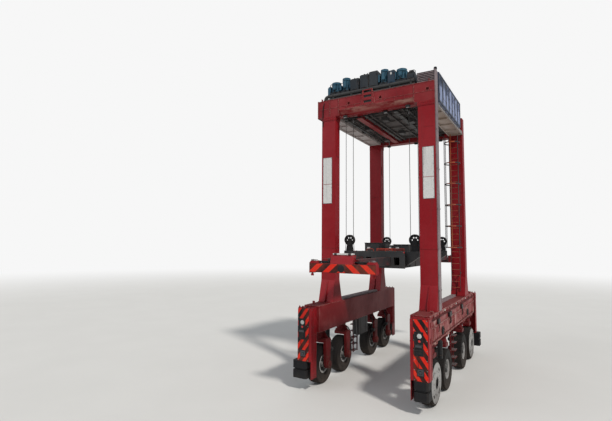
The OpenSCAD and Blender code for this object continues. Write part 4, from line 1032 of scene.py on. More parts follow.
def makeDrumRope(v):
    y, z, r, steps, starts = v["y"], v["z"], v["rope"], v["steps"], v["starts"]
    bm, turn = bmesh.new(), bmesh.new()
    profile = [(r * sin(tau * i / 6), y + v["radius"] + r * cos(tau * i / 6), z) for i in range(6)]
    spinIn(turn, profile, (0, y, z), right, steps, tau - v["gap"], (v["pitch"] / steps, 0, 0))
    pour(turn, bm, [(start + v["pitch"] * i, 0, 0) for start in starts for i in range(v["turns"])])
    turn.free()
    makePiece("drum_rope", bm, "wireRope", "hoist_drum", spun=True)
    fit("drum_fittings", "machineGrey", body="hoist_drum",
        rings=[((x, y, z), out, ring, count, 0.022) for x, out in v["flanges"]
               for ring, count in ((0.205, 12), (0.085, 8))],
        blocks=[(([x - 0.02 for x in starts], y + 0.185, z - 0.02), (0.04, 0.037, 0.04), 0.004)])
    fit("pedestal_fittings", "machineGrey",
        rings=[((x, y, z), out, 0.095, 8, 0.020) for x, out in v["pedestals"]],
        posts=[((-1.916, y, z), (-0.034, 0, 0), 0.075, 28, 0.006)],
        blocks=[(([-1.935, 1.49], y - 0.21, 11.775), (0.09, 0.42, 0.025), 0.004)],
        bolts=[(([-1.885, 1.54], around(y, 0.17), 11.80), up, 0.026)])


makeDrumRope(drum)

rope = {"x": 1.40, "rows": (-2.35, 2.23), "half": 0.170, "head": 11.34, "low": 5.70, "short": 10.97,
        "radius": 0.012, "lay": 0.28, "groove": 0.82, "steps": 12, "gap": 1e-4, "over": 11.51}


# One turn of the strands of a rope that climbs
def makeStrands(v, lay):
    bm, steps = bmesh.new(), v["steps"]
    reaches = [(v["radius"] * (1.0 if i % 2 else v["groove"]), tau * i / 12) for i in range(12)]
    spinIn(bm, [(reach * cos(a), reach * sin(a), 0) for reach, a in reaches], (0, 0, 0), up, steps,
           tau - v["gap"], (0, 0, lay / steps))
    return bm


def makeRopes(v):
    bm, x, half, over, low = bmesh.new(), v["x"], v["half"], v["over"], v["low"]
    for top, outward in ((v["head"], 1), (v["short"], -1)):
        turns = round((top - low) / v["lay"])
        lay = (top - low) / turns
        turn = makeStrands(v, lay)
        pour(turn, bm, [(side * (x + outward * half), y, low + lay * i)
                        for side in (-1, 1) for y in v["rows"] for i in range(turns)])
        turn.free()
    falls = makePiece("rope_falls", bm, "wireRope", None, spun=True)
    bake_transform(falls)
    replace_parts(falls, "hoist_ropes")
    # from the head sheaves over the deck to the drum
    ways = (((1.24, 0, over), (1.10, 0.04, over), (1.04, 0.16, over), (1.04, 0.85, over + 0.032),
             (0.98, 0.99, 11.62), (0.94, 0.85, 11.80), (0.90, 0.38, 11.96)),
            ((1.22, 0, over), (1.10, -0.05, over), (1.05, -0.17, over), (1.05, -1.73, 11.72),
             (1.05, -4.18, 12.06)))
    runs = [(tuple((x + half * cos(a), y, v["head"] + half * sin(a)) for a in spread(0, pi / 2, 5))
             + tuple((px, y + py, pz) for px, py, pz in way), v["radius"], 2, 8)
            for y, way in zip(v["rows"], ways)]
    fit("rope_runs", "wireRope", hoses=runs, flips=bothSides)
    fit("rope_anchors", "zinc", flips=bothSides,
        posts=[((x - half, [*v["rows"]], v["short"] - 0.18), (0, 0, 0.19), 0.024, 14, 0.004)])
    fit("turning_sheaves", "machineGrey", flips=bothSides,
        posts=[((px, y, [11.488, 11.520]), (0, 0, 0.012), r, 36, 0.003)
               for px, y, r in ((1.16, 2.07, 0.14), (1.15, -2.20, 0.13))]
        + [((px, y, z), (0, 0, rise), r, count) for px, y in ((1.16, 2.07), (1.15, -2.20))
           for z, rise, r, count in ((11.50, 0.02, 0.098, 36), (deckTop, 0.48, 0.035, 16))]
        + [(([0.945, 0.995], -1.50, 11.665), (0.014, 0, 0), 0.165, 36, 0.003),
           ((0.90, -1.50, 11.665), (0.16, 0, 0), 0.03, 16)],
        blocks=[((1.06, 1.99, deckTop), (0.20, 0.16, 0.02), 0.004),
                ((1.05, -2.28, deckTop), (0.20, 0.16, 0.02), 0.004),
                (([0.915, 1.03], -1.54, deckTop), (0.015, 0.08, 0.62), 0.004)],
        bolts=[(([1.08, 1.24], [2.01, 2.13], 11.10), up, 0.02)])


makeRopes(rope)
print("hoist machinery")


# Housings: doors, louvres, roof fans, exhaust cap, gutters

powerHouse = {"wall": 2.46, "inner": 1.69, "front": -2.50, "rear": 1.70, "top": 12.23, "panels": 7,
              "pitch": panelPitch, "first": firstPanel, "gap": 0.012, "fans": [-1.60, 0.80], "middle": 2.07,
              "roof": 12.30, "stack": (1.89, 1.45, 12.56)}


def makePowerHouse(v):
    wall, inner, front, rear, eaves, pitch, roof = (v[key] for key in (
        "wall", "inner", "front", "rear", "top", "pitch", "roof"))
    boxes, hinges, handles, bolts = [], [], [], []
    joints = [v["first"] + i * pitch for i in range(v["panels"] + 1)]
    for i, start in enumerate(joints[:-1]):
        a, b = start + v["gap"], start + pitch - v["gap"]
        hinges += [((wall + 0.022, a + 0.004, [11.30, 11.98]), (0, 0, 0.09), 0.011, 12)]
        handles += [((wall, b - 0.075, 11.60), (0.014, 0.030, 0.14), 0.004),
                    ((wall + 0.012, b - 0.068, 11.63), (0.018, 0.016, 0.08), 0.004)]
        bolts += [((wall, spread(a + 0.03, b - 0.03, 4), [11.165, 12.135]), right, 0.012)]
        if i % 2:
            bolts += [((wall + 0.006, [a + 0.10, b - 0.10], [11.40, 11.73]), right, 0.012)]
        else:
            boxes += [((wall - 0.001, a + 0.10, spread(11.78, 12.06, 9)), (0.017, b - a - 0.20, 0.016),
                       0.003),
                      ((wall - 0.001, a + 0.085, [11.755, 12.085]), (0.007, b - a - 0.17, 0.015), 0.002)]
    fit("power_house_louvres", "houseBlue", blocks=boxes + [
        ((2.444, front, eaves - 0.026), (0.030, rear - front, 0.030), 0.008),
        ((inner - 0.012, front + 0.5, eaves - 0.026), (0.012, rear - front - 0.5, 0.026), 0.004),
        ((inner - 0.008, [-1.6, -0.86, -0.12, 0.62], 11.25), (0.008, 0.62, 0.80), 0.005),
        ((inner - 0.020, [-1.52, -0.04], spread(11.40, 11.90, 11)), (0.016, 0.46, 0.018), 0.004),
        ((1.80, rear, spread(11.35, 11.95, 12)), (0.54, 0.018, 0.024), 0.004)])
    fit("power_house_hardware", "zinc", posts=hinges, bolts=bolts,
        loops=[(([1.76, 2.39], [-2.40, 0.0, 1.60], eaves + 0.022), back, 0.026, 0.008, 24)])
    fit("power_house_frame", "houseFrame",
        boxes=[((wall - 0.002, max(y - 0.04, front), 11.10), (wall + 0.016, min(y + 0.04, rear), 12.17),
                0.004) for y in joints]
        + [((wall - 0.002, front, z), (wall + 0.020, rear, z + high), 0.005)
           for z, high in ((11.055, 0.075), (12.15, 0.05))])
    fit("power_house_handles", "machineBlack", blocks=handles)
    middle, fans = v["middle"], v["fans"]
    fit("roof_fans", "machineBlack",
        loops=[((middle, fans, roof + 0.004), up, spread(0.06, 0.22, 5), 0.006, 44)],
        blocks=[((middle - 0.226, [fan - 0.006 for fan in fans], roof - 0.002), (0.452, 0.012, 0.008), 0.001),
                ((middle - 0.006, [fan - 0.226 for fan in fans], roof - 0.002),
                 (0.012, 0.452, 0.008), 0.001)],
        posts=[((middle, fans, roof - 0.004), (0, 0, 0.016), 0.045, 20, 0.004)])
    x, y, top = v["stack"]
    fit("exhaust_cap", "zinc",
        posts=[((x, y, eaves + 0.06), (0, 0, 0.19), 0.105, 36, 0.02),
               ((x, y, top + 0.045), (0, 0, 0.04), 0.125, 36, 0.0, 0.02)],
        rods=[((x + 0.066 * cos(a), y + 0.066 * sin(a), top - 0.03),
               (x + 0.075 * cos(a), y + 0.075 * sin(a), top + 0.05),
               0.006, 8) for a in (0.3, 2.4, 4.5)],
        loops=[((x, y, [12.33, 12.44]), up, 0.107, 0.006, 40), ((x, y, top - 0.01), up, 0.077, 0.005, 36)])


makePowerHouse(powerHouse)
fit("grille_fittings", "grilleDark", boxes=[((1.735, -2.955, 12.13), (2.425, -2.90, 12.158), 0.006)],
    blocks=[(([1.735, 2.395], -2.955, 11.736), (0.03, 0.055, 0.414), 0.006)],
    bolts=[(([1.750, 2.410], -2.954, spread(11.80, 12.10, 5)), ahead, 0.012)])
fit("grille_blades", "ductGrey",
    blocks=[((1.767, -2.962, spread(11.765, 12.085, 6)), (0.626, 0.024, 0.026), 0.004)])

electricalHouse = {"faces": ((-2.43, -1), (-1.77, 1)), "doors": (-2.35, 0.78), "low": 11.05, "top": 11.62,
                   "roof": 11.68, "vents": [-1.75, -0.65, 0.45], "middle": -2.10}


def makeElectricalHouse(v):
    low, top, roof, vents, middle = (v[key] for key in ("low", "top", "roof", "vents", "middle"))
    doors = spread(*v["doors"], 5)
    boxes, bolts, handles = [], [], []
    for face, out in v["faces"]:
        def sheet(a, b, places, size, z, bevel, moves=doors):
            near, far = sorted((face + out * a, face + out * b))
            return ((near, [door + places for door in moves], z), (far - near, *size), bevel)

        boxes += [sheet(-0.002, 0.010, 0, (0.60, top - low - 0.19), low + 0.07, 0.005),
                  sheet(0.006, 0.020, 0.10, (0.40, 0.014), spread(11.17, 11.27, 5), 0.003)]
        handles += [sheet(0, 0.030, 0.53, (0.025, 0.10), 11.30, 0.005),
                    sheet(0, 0.020 if out > 0 else 0.030, -0.006, (0.020, 0.05), [11.15, 11.42], 0.003)]
        bolts += [((face + out * 0.010, [door + dy for door in doors for dy in (0.03, 0.30, 0.57)],
                    [11.135, 11.485]),
                   (out, 0, 0), 0.012)]
    fit("electrical_doors", "paleGrey", blocks=boxes, bolts=bolts)
    fit("electrical_vents", "machineBlack",
        loops=[((middle, vents, roof + 0.003), up, spread(0.05, 0.20, 4), 0.006, 36)],
        blocks=handles + [((middle - 0.20, [y - 0.006 for y in vents], roof - 0.002),
                           (0.40, 0.012, 0.008), 0.001)])


makeElectricalHouse(electricalHouse)
print("housings")


# Deck: plate seams and pipes above, trays and cable loops below

deck = {"top": deckTop, "ribs": 10.97, "front": -2.51, "rear": 2.41,
        "trays": ((-1.62, -1.52), (-0.66, -0.54), (0.60, 0.78), (1.10, 1.24)),
        "boxes": ((-0.10, -1.95), (-0.12, 0.35), (0.82, -1.2), (0.84, 1.25)),
        "plainBoxes": ((-1.28, -0.95), (-1.24, 1.35), (1.32, -0.15)), "dips": (0.05, 0.16), "sway": 0.03}


def makeDeck(v):
    top, ribs, trays, sway = v["top"], v["ribs"], v["trays"], v["sway"]
    fit("deck_plates", "deckGrey",
        blocks=[((-1.75, spread(-1.5, 1.9, 6), top), (3.41, 0.008, 0.006), 0.001),
                (([-0.88, 0.10], -2.4, top), (0.008, 4.7, 0.006), 0.001),
                ((-1.74, spread(-1.2, 1.3, 3), top), (0.08, 0.9, 0.08), 0.006)])
    fit("deck_pipes", "zinc",
        posts=[(([-0.15, -0.08, 0.42], -1.9, top + 0.05), (0, 4.1, 0), 0.020, 12),
               ((-1.55, [0.9, 1.0], top + 0.04), (3.15, 0, 0), 0.016, 12)],
        blocks=[(([-0.20, 0.33], spread(-1.8, 2.1, 6), top), (0.17, 0.03, 0.075), 0.004)])
    fit("deck_boxes", "machineGrey",
        blocks=[((-0.75, -1.05, top), (0.45, 0.50, 0.34), 0.012),
                ((-0.70, 0.10, top), (0.35, 0.52, 0.26), 0.012),
                ((0.55, 0.15, top), (0.33, 0.60, 0.42), 0.012),
                ((-1.30, 0.20, top), (0.35, 0.50, 0.30), 0.012),
                ((-0.77, -1.07, top + 0.30), (0.49, 0.54, 0.02), 0.004)],
        hoses=[(((-0.5, -0.55, top + 0.2), (-0.5, -0.45, top + 0.08), (-0.5, -0.1, top + 0.03),
                 (-0.5, 0.12, top + 0.12)), 0.018),
               (((0.56, 0.4, top + 0.2), (0.46, 0.4, top + 0.14), (0.42, 0.45, top + 0.06)), 0.018)])
    fit("under_trays", "machineGrey",
        boxes=[((a, v["front"] + 0.02, ribs - 0.035), (b, v["rear"] - 0.02, ribs), 0.004) for a, b in trays],
        blocks=[((a - 0.03, spread(-2.2, 2.1, 6), ribs - 0.05), (b - a + 0.06, 0.03, 0.055), 0.003)
                for a, b in trays])
    ties, hoses = spread(v["front"] + 0.05, v["rear"] - 0.05, 6), []
    for count, x in enumerate(spread(1.05, 1.58, 7)):
        dips = [random.uniform(*v["dips"]) for _ in ties[1:]]
        path = [(x, ties[0], ribs - 0.02)]
        for a, b, dip in zip(ties, ties[1:], dips):
            path += [(x + random.uniform(-sway, sway), (a + b) / 2, ribs - 0.02 - dip), (x, b, ribs - 0.03)]
        hoses.append((tuple(path), 0.012 + 0.004 * (count % 3), 2, 5))
    slack = ((0, -2.45, ribs), (0.03, -1.2, ribs - 0.06), (-0.02, 0.1, ribs - 0.03), (0.02, 1.3, ribs - 0.07),
             (0, 2.38, ribs))
    hoses += [(beside(slack, -1.35, -0.30, 0.38), 0.015, 2, 8)]
    hoses += [(((1.62, y, 10.93), (1.30, y + 0.05, 10.86), (0.9, y - 0.04, 10.90), (0.69, y, 10.94)), 0.014,
               2, 8)
              for y in (-1.9, -0.7, 0.9, 1.9)]
    fit("under_cables", "hoseBlack", hoses=hoses)
    fit("under_boxes", "machineGrey",
        blocks=[((x, y, ribs - 0.16), (0.26, 0.34, 0.16), 0.012) for x, y in v["boxes"] + v["plainBoxes"]]
        + [(([-1.75, 1.68], -0.08, ribs - 0.05), (0.10, 0.16, 0.05), 0.004)],
        bolts=[(([x + 0.03, x + 0.23], [y + 0.03, y + 0.31], ribs - 0.159), down, 0.014)
               for x, y in v["boxes"]])


makeDeck(deck)
fit("top_beam_bolts", "paleGrey", flips=bothSides,
    boxes=[((2.41, -2.50, 10.90), (2.43, 2.40, 10.915), 0.003)],
    blocks=[((2.405, spread(-2.312, 2.188, 11), 10.905), (0.020, 0.024, 0.14), 0.003)],
    bolts=[((2.411, [-2.45, -2.38, 2.28, 2.35], [10.94, 11.01]), right, 0.018)])
fit("rear_beam_fittings", "beamRed", boxes=[((-2.41, 2.828, 11.70), (2.41, 2.842, 11.735), 0.004)],
    blocks=[(([-2.215, 1.285, 2.185], 2.55, 11.735), (0.03, 0.17, 0.115), 0.03)],
    bolts=[((spread(-2.3, 2.3, 24), 2.846, [11.045, 11.60]), back, 0.024)])
fit("rear_rail_fittings", "machineBlack", boxes=[((-1.70, 2.764, 11.735), (0.85, 2.770, 11.84), 0.002)],
    blocks=[((spread(-1.75, 0.80, 4), 2.72, 11.735), (0.10, 0.11, 0.012), 0.003)],
    bolts=[(([*spread(-1.735, 0.815, 4), *spread(-1.665, 0.885, 4)], 2.80, 11.747), up, 0.016)])
print("deck")

fit("duct_fittings", "ductGrey", boxes=[((2.444, -2.70, 3.15), (2.456, -2.68, 12.18), 0.002)],
    blocks=[((2.408, -2.985, spread(3.4, 10.4, 8)), (0.048, 0.35, 0.012), 0.003)],
    bolts=[((2.456, [-2.97, -2.65], spread(3.86, 9.86, 5)), right, 0.016)])
fit("mast_lamp", "machineBlack", loops=[((2.43, -2.90, 12.235), up, 0.059, 0.005, 36)],
    posts=[((2.43, -2.90, 12.185), (0, 0, 0.03), 0.062, 28, 0.006),
           ((2.43, -2.90, 12.21), (0, 0, 0.07), 0.058, 28, 0.02)],
    hoses=[(((2.43, -2.86, 12.20), (2.44, -2.80, 12.22), (2.44, -2.74, 12.19)), 0.010)])
fit("placard_frames", "zinc", flips=bothSides,
    blocks=[(([1.921, 2.336], -3.020, 7.24), (0.012, 0.010, 1.97), 0.002),
            ((1.921, -3.020, [7.238, 9.20]), (0.427, 0.010, 0.012), 0.002)],
    bolts=[(([1.950, 2.319], -3.016, spread(7.29, 9.16, 7)), ahead, 0.012)])
fit("number_plate", "portalRed", boxes=[((2.00, -3.014, 9.98), (2.34, -3.008, 10.38), 0.002)],
    bolts=[(([2.02, 2.32], -3.013, [10.0, 10.36]), ahead, 0.010)])
fit("step_fittings", "zinc", flips=bothSides,
    blocks=[((spread(2.185, 2.365, 7), -0.205, spread(0.55, 1.75, 5)), (0.012, 0.41, 0.012), 0.001)],
    bolts=[((2.22, s * 0.232, spread(0.535, 1.735, 5)), (0, s, 0), 0.016) for s in (-1, 1)])
fit("fuel_tank_fittings", "zinc", boxes=[((-2.112, -0.10, 1.50), (-2.100, -0.07, 2.02), 0.003)],
    posts=[((-1.90, -0.35, 1.37), (0, 0, -0.03), 0.03, 16, 0.004),
           ((-2.115, 0.35, 1.95), (-0.02, 0, 0), 0.05, 24, 0.005)],
    loops=[((-2.135, 0.35, 1.95), right, 0.040, 0.006, 24)],
    hoses=[(((-1.90, -0.35, 1.35), (-1.90, -0.42, 1.30), (-1.86, -0.60, 1.45), (-1.84, -0.72, 1.90),
             (-1.84, -0.74, 2.12)), 0.012)])


# Spreader: striped ends, lens, twistlock drives, frame pipes, cabinets, rods

spreaderEnd = {"lock": (1.1295, -5.9925), "face": -6.0595, "lens": -6.073, "back": -5.7925, "low": 4.55,
               "high": 4.85, "half": 1.2185, "roof": 5.15,
               "ram": {"end": -2.695, "z": 4.95, "parts": 9, "sides": 24}}


# Both ends are drawn at the front; the rear one is turned half round
def makeSpreaderEnd(v, label, turn):
    face, rear, low, high, roof, ram = (v[key] for key in ("face", "back", "low", "high", "roof", "ram"))
    body = f"spreader_{label}"
    shared = {"body": body, "flips": ((turn, turn),)}
    fit(f"spreader_stripes_{label}", "spreaderHazard", **shared,
        boxes=[((-v["half"] + 0.01, face - 0.009, low + 0.008), (v["half"] - 0.01, face, high - 0.006),
                0.004)],
        posts=[((spread(-1.17, 1.17, 14), face - 0.008, [low + 0.03, high - 0.03]),
                (0, -0.0045, 0), 0.011, 10)])
    fit(f"spreader_lens_{label}", "machineBlack", **shared,
        rods=[((0, face - 0.004, 4.70), (0, v["lens"], 4.70), 0.125, 44, 0.004)],
        posts=[((s * 0.42, rear - 0.05, high + 0.06), (s * 0.56, 0, 0), 0.032, 20, 0.005) for s in (-1, 1)],
        blocks=[(([-0.31, 0.21], -5.97, high + 0.30), (0.10, 0.07, 0.055), 0.006)],
        hoses=[(tuple((s * x, y, z) for x, y, z in points), radius) for s in (-1, 1) for radius, *points in (
            (0.012, (0.40, -5.86, 4.95), (0.52, -5.90, 4.90), (0.75, -5.93, 4.868), (0.88, -5.95, 4.93)),
            (0.010, (0.40, -5.83, 5.02), (0.55, -5.84, 4.95), (0.80, -5.90, 4.872), (0.90, -5.93, 4.95)))])
    fit(f"spreader_eye_{label}", "darkGlass", **shared,
        posts=[(([-0.26, 0.26], -5.955, high + 0.325), (0, -0.02, 0), 0.020, 20, 0.004)])
    fit(f"spreader_cover_{label}", "plateWhite", **shared,
        boxes=[((-0.36, -5.96, roof), (0.38, -5.80, roof + 0.055), 0.012)],
        bolts=[(([-0.31, 0.0, 0.31], [-5.93, -5.83], roof + 0.055), up, 0.012)])
    x, y = v["lock"]
    fit(f"spreader_end_bolts_{label}", "zinc", **shared,
        bolts=[(([-1.13, -0.99, 0.99, 1.13], [-6.03, -5.83], 4.94), up, 0.022),
               (([-1.1, -0.2, 0.1, 1.1], rear, [4.60, 4.80]), back, 0.022),
               *(((s * 0.421, [-5.92, -5.82], [4.90, 5.08]), (s, 0, 0), 0.018) for s in (-1, 1))],
        posts=[(([-x, x], y, 4.94), (0, 0, 0.045), 0.05, 24, 0.006)],
        rods=[((s * x, y, 4.98), (s * 0.98, -5.88, 4.965), 0.012, 12) for s in (-1, 1)],
        boxes=[((-0.07, rear, 4.87), (0.07, rear + 0.014, 5.03), 0.004)])
    rod, z = bmesh.new(), ram["z"]      # slides into the frame, so it is drawn out between the two bodies
    places = spread(rear + 0.014, ram["end"], ram["parts"])
    for a, b in zip(places, places[1:]):
        rodIn(rod, (0, turn * a, z), (0, turn * b, z), 0.038, ram["sides"])
    inner = [cap for cap in rod.faces if len(cap.verts) == ram["sides"] and
             min(abs(abs(cap.calc_center_median().y) + place) for place in places[1:-1]) < 1e-3]
    bmesh.ops.delete(rod, geom=inner, context="FACES_ONLY")
    piece = makePiece(f"spreader_ram_{label}", rod, "zinc", None)
    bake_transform(piece)


for label, turn in (("front", 1), ("rear", -1)):
    makeSpreaderEnd(spreaderEnd, label, turn)

spreaderFrame = {
    "half": 1.07, "end": -2.70, "top": 5.25, "pockets": (-0.76, 0.40), "pocketHeights": (4.71, 5.016),
    "beam": 0.116, "lip": 0.035, "motor": (0.52, 0.29),
    # edges across, edges along and height of each cabinet
    "cabinets": ((-0.90, -0.25, -1.90, -0.70, 0.344), (0.23, 0.88, -1.50, -0.10, 0.284),
                 (-0.88, -0.24, 0.70, 1.50, 0.244)),
}


def makeSpreaderFrame(v):
    top, end, half, beam, lip = (v[key] for key in ("top", "end", "half", "beam", "lip"))
    low, high = v["pocketHeights"]
    fit("pocket_frames", "machineGrey", body="spreader", flips=bothEnds,
        blocks=[(([x - beam - lip, x + beam], end - 0.006, low - lip), (lip, 0.006, high - low + 2 * lip),
                 0.001)
                for x in v["pockets"]]
        + [((x - beam, end - 0.006, high), (2 * beam, 0.006, lip), 0.001) for x in v["pockets"]],
        posts=[((around(x, beam + 0.018), end - 0.005, spread(low, high, 4)), (0, -0.003, 0), 0.010, 10)
               for x in v["pockets"]]
        + [(([-1.06, -0.2, 0.1, 0.7, 1.06], end, [4.63, 5.10]), (0, -0.006, 0), 0.014, 6)],
        loops=[((0, end - 0.002, 4.95), back, 0.050, 0.006, 28)])
    fit("spreader_pipes", "zinc", body="spreader", flips=bothSides,
        posts=[((half + 0.018, -2.15, [4.98, 5.02, 5.06]), (0, 4.18, 0), 0.012, 12)],
        blocks=[((half, spread(-1.9, 1.85, 7), 4.95), (0.036, 0.03, 0.14), 0.004)],
        bolts=[((spread(0.30, 0.92, 4), [-2.6, 2.6], top), up, 0.022),
               (([half + 0.08, half + 0.44], [-2.46, -2.24, 2.12, 2.34], top), up, 0.024)])
    fit("spreader_frame_ribs", "machineGrey", body="spreader", flips=bothSides,
        blocks=[((half - 0.004, spread(-2.0, 1.9, 6), 4.63), (0.026, 0.014, 0.51), 0.003),
                ((half - 0.004, -2.68, 4.62), (0.030, 5.36, 0.025), 0.003)])


def makeSpreaderCabinets(v):
    top = v["top"]
    doors, handles, hoses, plates, bolts = [], [], [], [], []
    for a, b, c, d, rise in v["cabinets"]:
        middle, count = (a + b) / 2, 2 if d - c > 1.0 else 1
        width = (d - c) / count
        starts = [c + i * width for i in range(count)]
        doors += [(([a - 0.010, b - 0.002], [y + 0.03 for y in starts], top + 0.03),
                   (0.012, width - 0.06, rise - 0.08), 0.004)]
        handles += [(([a - 0.026, b], [y + width - 0.09 for y in starts], top + 0.12),
                     (0.026, 0.02, 0.06), 0.004)]
        lead = ((middle, d, top + 0.08), (middle, d + 0.07, top + 0.05), (middle, d + 0.16, top + 0.015),
                (0.10, d + 0.30, top + 0.014), (0.05, d + 0.40, top - 0.10))
        hoses += [(beside(lead, -0.09, -0.03, 0.03), 0.014)]
        plates += [((a + 0.10, c - 0.004, top + 0.08), (0.14, 0.004, 0.08), 0.001)]
        bolts += [(([a + 0.04, b - 0.04], [c + 0.05, d - 0.05], top + rise), up, 0.016)]
    fit("spreader_doors", "machineGrey", body="spreader", slot="light_grey_paint", blocks=doors, bolts=bolts)
    fit("spreader_handles", "machineBlack", body="spreader", blocks=handles, hoses=hoses)
    fit("spreader_plates", "plateWhite", body="spreader", blocks=plates)


def makeHydraulics(v):
    top, (x, rise) = v["top"], v["motor"]
    fit("hydraulic_unit", "machineGrey", body="spreader",
        blocks=[((0.30, 0.35, top), (0.62, 0.90, 0.20), 0.012),
                ((0.38, 1.32, top), (0.40, 0.46, 0.14), 0.010),
                ((0.36, 0.42, top + 0.20), (0.26, 0.24, 0.06), 0.006),
                ((spread(0.42, 0.74, 5), 1.36, top + 0.14), (0.05, 0.38, 0.05), 0.006)])
    fit("hydraulic_motor", "motorBlue", body="spreader",
        posts=[((x, 0.75, top + rise), (0, 0.38, 0), 0.085, 28, 0.008),
               ((x, 0.68, top + rise), (0, 0.07, 0), 0.105, 28, 0.005),
               ((0.78, 0.5, top + 0.20), (0, 0, 0.10), 0.05, 24, 0.008)],
        loops=[((x, spread(0.79, 1.10, 9), top + rise), back, 0.087, 0.005, 28)],
        blocks=[((x - 0.06, 0.86, top + 0.20), (0.12, 0.18, 0.04), 0.004)])
    hoses = [((0.44 + 0.08 * i, 1.74, 0.165), (0.44 + 0.08 * i, 1.90, 0.15), (0.40 + 0.06 * i, 2.05, 0.05),
              (0.30 + 0.10 * i, 2.45, 0.02), (0.34 + 0.10 * i, 2.69, -0.04), 0.013) for i in range(5)]
    hoses += [((0.62, 1.13, 0.29), (0.72, 1.26, 0.30), (0.66, 1.38, 0.20), 0.014),
              ((0.78, 0.5, 0.29), (0.88, 0.62, 0.34), (0.90, 1.0, 0.26), (0.76, 1.34, 0.19), 0.012),
              ((-0.3, -0.7, 0.1), (-0.05, -0.45, 0.06), (0.1, -0.02, 0.03), (0.32, 0.36, 0.1), 0.016),
              ((-0.55, -0.66, 0.1), (-0.6, -0.3, 0.03), (-0.62, 0.3, 0.03), (-0.58, 0.71, 0.1), 0.016)]
    fit("hydraulic_hoses", "hoseBlack", body="spreader", shift=(0, 0, top), hoses=[
        (tuple(points), radius) for *points, radius in hoses])


def makeSpreaderRails(v):
    top = v["top"]
    grip = ((0, -2.52, top), (0, -2.52, top + 0.07), (0.06, -2.52, top + 0.09), (0.22, -2.52, top + 0.09),
            (0.28, -2.52, top + 0.07), (0.28, -2.52, top))
    fit("spreader_rails", "signalRedPaint", body="spreader", flips=bothEnds,
        posts=[((-0.95, 2.30, [top + 0.10, top + 0.045]), (1.15, 0, 0), 0.016, 14),
               ((spread(-0.95, 0.20, 4), 2.30, top), (0, 0, 0.10), 0.016, 12)])
    fit("spreader_grips", "signalRedPaint", body="spreader", flips=bothEnds,
        hoses=[(beside(grip, -0.55, 0.25), 0.011)])
    fit("spreader_lamps", "redLens", body="spreader", flips=corners,
        posts=[((1.03, 2.60, 5.17), (0, 0, 0.065), 0.035, 20, 0.010)])


for make in (makeSpreaderFrame, makeSpreaderCabinets, makeHydraulics, makeSpreaderRails):
    make(spreaderFrame)


# Keeper plates, grease nipples and foot bolts of the sheave blocks
def makeSheaveFittings(v, name, body, level, base):
    blocks, bolts, posts = [], [], []
    for y, s in product(v["rows"], (-1, 1)):
        face = y + s * 0.062
        blocks += [((v["x"] - 0.05, min(face, face + s * 0.008), level + 0.028), (0.10, 0.008, 0.032), 0.002)]
        bolts += [((around(v["x"], 0.038), face + s * 0.008, level + 0.044), (0, s, 0), 0.012),
                  ((around(v["x"], 0.10), face, base + 0.028), (0, s, 0), 0.020)]
        posts += [((v["x"], y + s * 0.078, level), (0, s * 0.014, 0), 0.008, 6)]
    fit(name, "machineBlack", body=body, flips=bothSides, blocks=blocks, bolts=bolts, posts=posts)


# Round rope guards on both sides of the spreader's sheaves, on two stays each
def makeRopeGuards(v, level, base, ring, reach):
    foot, top = 0.9 * reach, level - sqrt(ring ** 2 - (0.9 * reach) ** 2)
    rows = [y + dy for y in v["rows"] for dy in (-0.066, 0.066)]
    fit("rope_guards", "machineBlack", body="spreader", flips=bothSides,
        loops=[((v["x"], rows, level), back, ring, 0.013, 48)],
        rods=[((v["x"] + s * reach, y, base), (v["x"] + s * foot, y, top), 0.011, 10) for y in rows
              for s in (-1, 1)])


makeRopeGuards(rope, rope["low"], spreaderFrame["top"], 0.212, 0.17)
makeSheaveFittings(rope, "head_sheave_fittings", "portal", rope["head"], deck["top"])
makeSheaveFittings(rope, "spreader_sheave_fittings", "spreader", rope["low"], spreaderFrame["top"])
print("spreader")


# Floor, backdrop and light

studio = {
    "half": 180.0, "fadeFrom": 30.0, "fadeTo": 85.0, "floor": (0.62, 0.61, 0.59), "back": (0.93, 0.93, 0.93),
    "glow": 0.30, "sky": 0.46, "skyColour": (0.90, 0.95, 1.0),
    # power, colour, angle across, turn and height of each lamp, the last three in degrees
    "lamps": {"sun": (2.5, (1.0, 0.965, 0.91), 6.0, 62.0, 48.0),
              "fill": (0.6, (0.9, 0.95, 1.0), 40.0, -35.0, 30.0)},
}


# 1 where the camera looks, straight or through glass
def seenBy(tree):
    path = addNode(tree, "ShaderNodeLightPath").outputs
    return mathNode(tree, "MAXIMUM", path["Is Camera Ray"], path["Is Transmission Ray"])


def mixShaders(tree, factor, a, b):
    return addNode(tree, "ShaderNodeMixShader", {0: factor, 1: a, 2: b}).outputs[0]


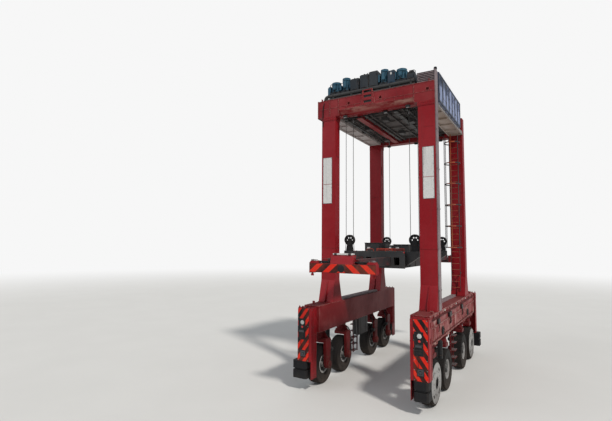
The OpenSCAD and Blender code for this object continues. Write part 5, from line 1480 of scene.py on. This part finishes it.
def makeFloor(v):
    bm = bmesh.new()
    bmesh.ops.create_grid(bm, x_segments=1, y_segments=1, size=v["half"])
    mesh = bpy.data.meshes.new("yardFloor")
    bm.to_mesh(mesh)
    bm.free()
    floor = bpy.data.objects.new("yardFloor", mesh)
    scene.collection.objects.link(floor)
    made, tree, surface, place, out = newMaterial("yardFloor")
    blur = ramp(tree, noise(tree, place, 0.35, 5.0), 0.3, 0.7, (0.985, 1.01))
    tree.links.new(mixColour(tree, 1.0, v["floor"], blur, "MULTIPLY"), surface.inputs["Base Color"])
    surface.inputs["Roughness"].default_value = 0.85
    power = ramp(tree, seenBy(tree), 0.0, 1.0, (v["glow"], 1.0), kind="LINEAR")
    glow = addNode(tree, "ShaderNodeEmission", {0: v["back"], 1: power}).outputs[0]
    far = addNode(tree, "ShaderNodeVectorMath", {0: place}, operation="LENGTH").outputs["Value"]
    fade = mixShaders(tree, ramp(tree, far, v["fadeFrom"], v["fadeTo"]), surface.outputs[0], glow)
    clear = addNode(tree, "ShaderNodeBsdfTransparent").outputs[0]
    under = addNode(tree, "ShaderNodeNewGeometry").outputs["Backfacing"]
    tree.links.new(mixShaders(tree, under, fade, clear), out.inputs[0])
    mesh.materials.append(made)


def makeLight(v):
    world = bpy.data.worlds.new("studio")
    world.use_nodes = True
    scene.world = world
    tree = world.node_tree
    tree.nodes.clear()
    sky = addNode(tree, "ShaderNodeBackground", {0: v["skyColour"], 1: v["sky"]}).outputs[0]
    back = addNode(tree, "ShaderNodeBackground", {0: v["back"], 1: 1.0}).outputs[0]
    addNode(tree, "ShaderNodeOutputWorld", {0: mixShaders(tree, seenBy(tree), sky, back)})
    for name, (power, colour, *angles) in v["lamps"].items():
        across, turn, height = map(radians, angles)
        data = bpy.data.lights.new(name, "SUN")
        data.energy, data.angle, data.color = power, across, colour
        lamp = bpy.data.objects.new(name, data)
        scene.collection.objects.link(lamp)
        toward = Vector((sin(turn) * cos(height), -cos(turn) * cos(height), sin(height)))
        lamp.rotation_euler = toward.to_track_quat("Z", "Y").to_euler()


makeFloor(studio)
makeLight(studio)
scene.view_settings.view_transform = "Standard"
print("floor and light")
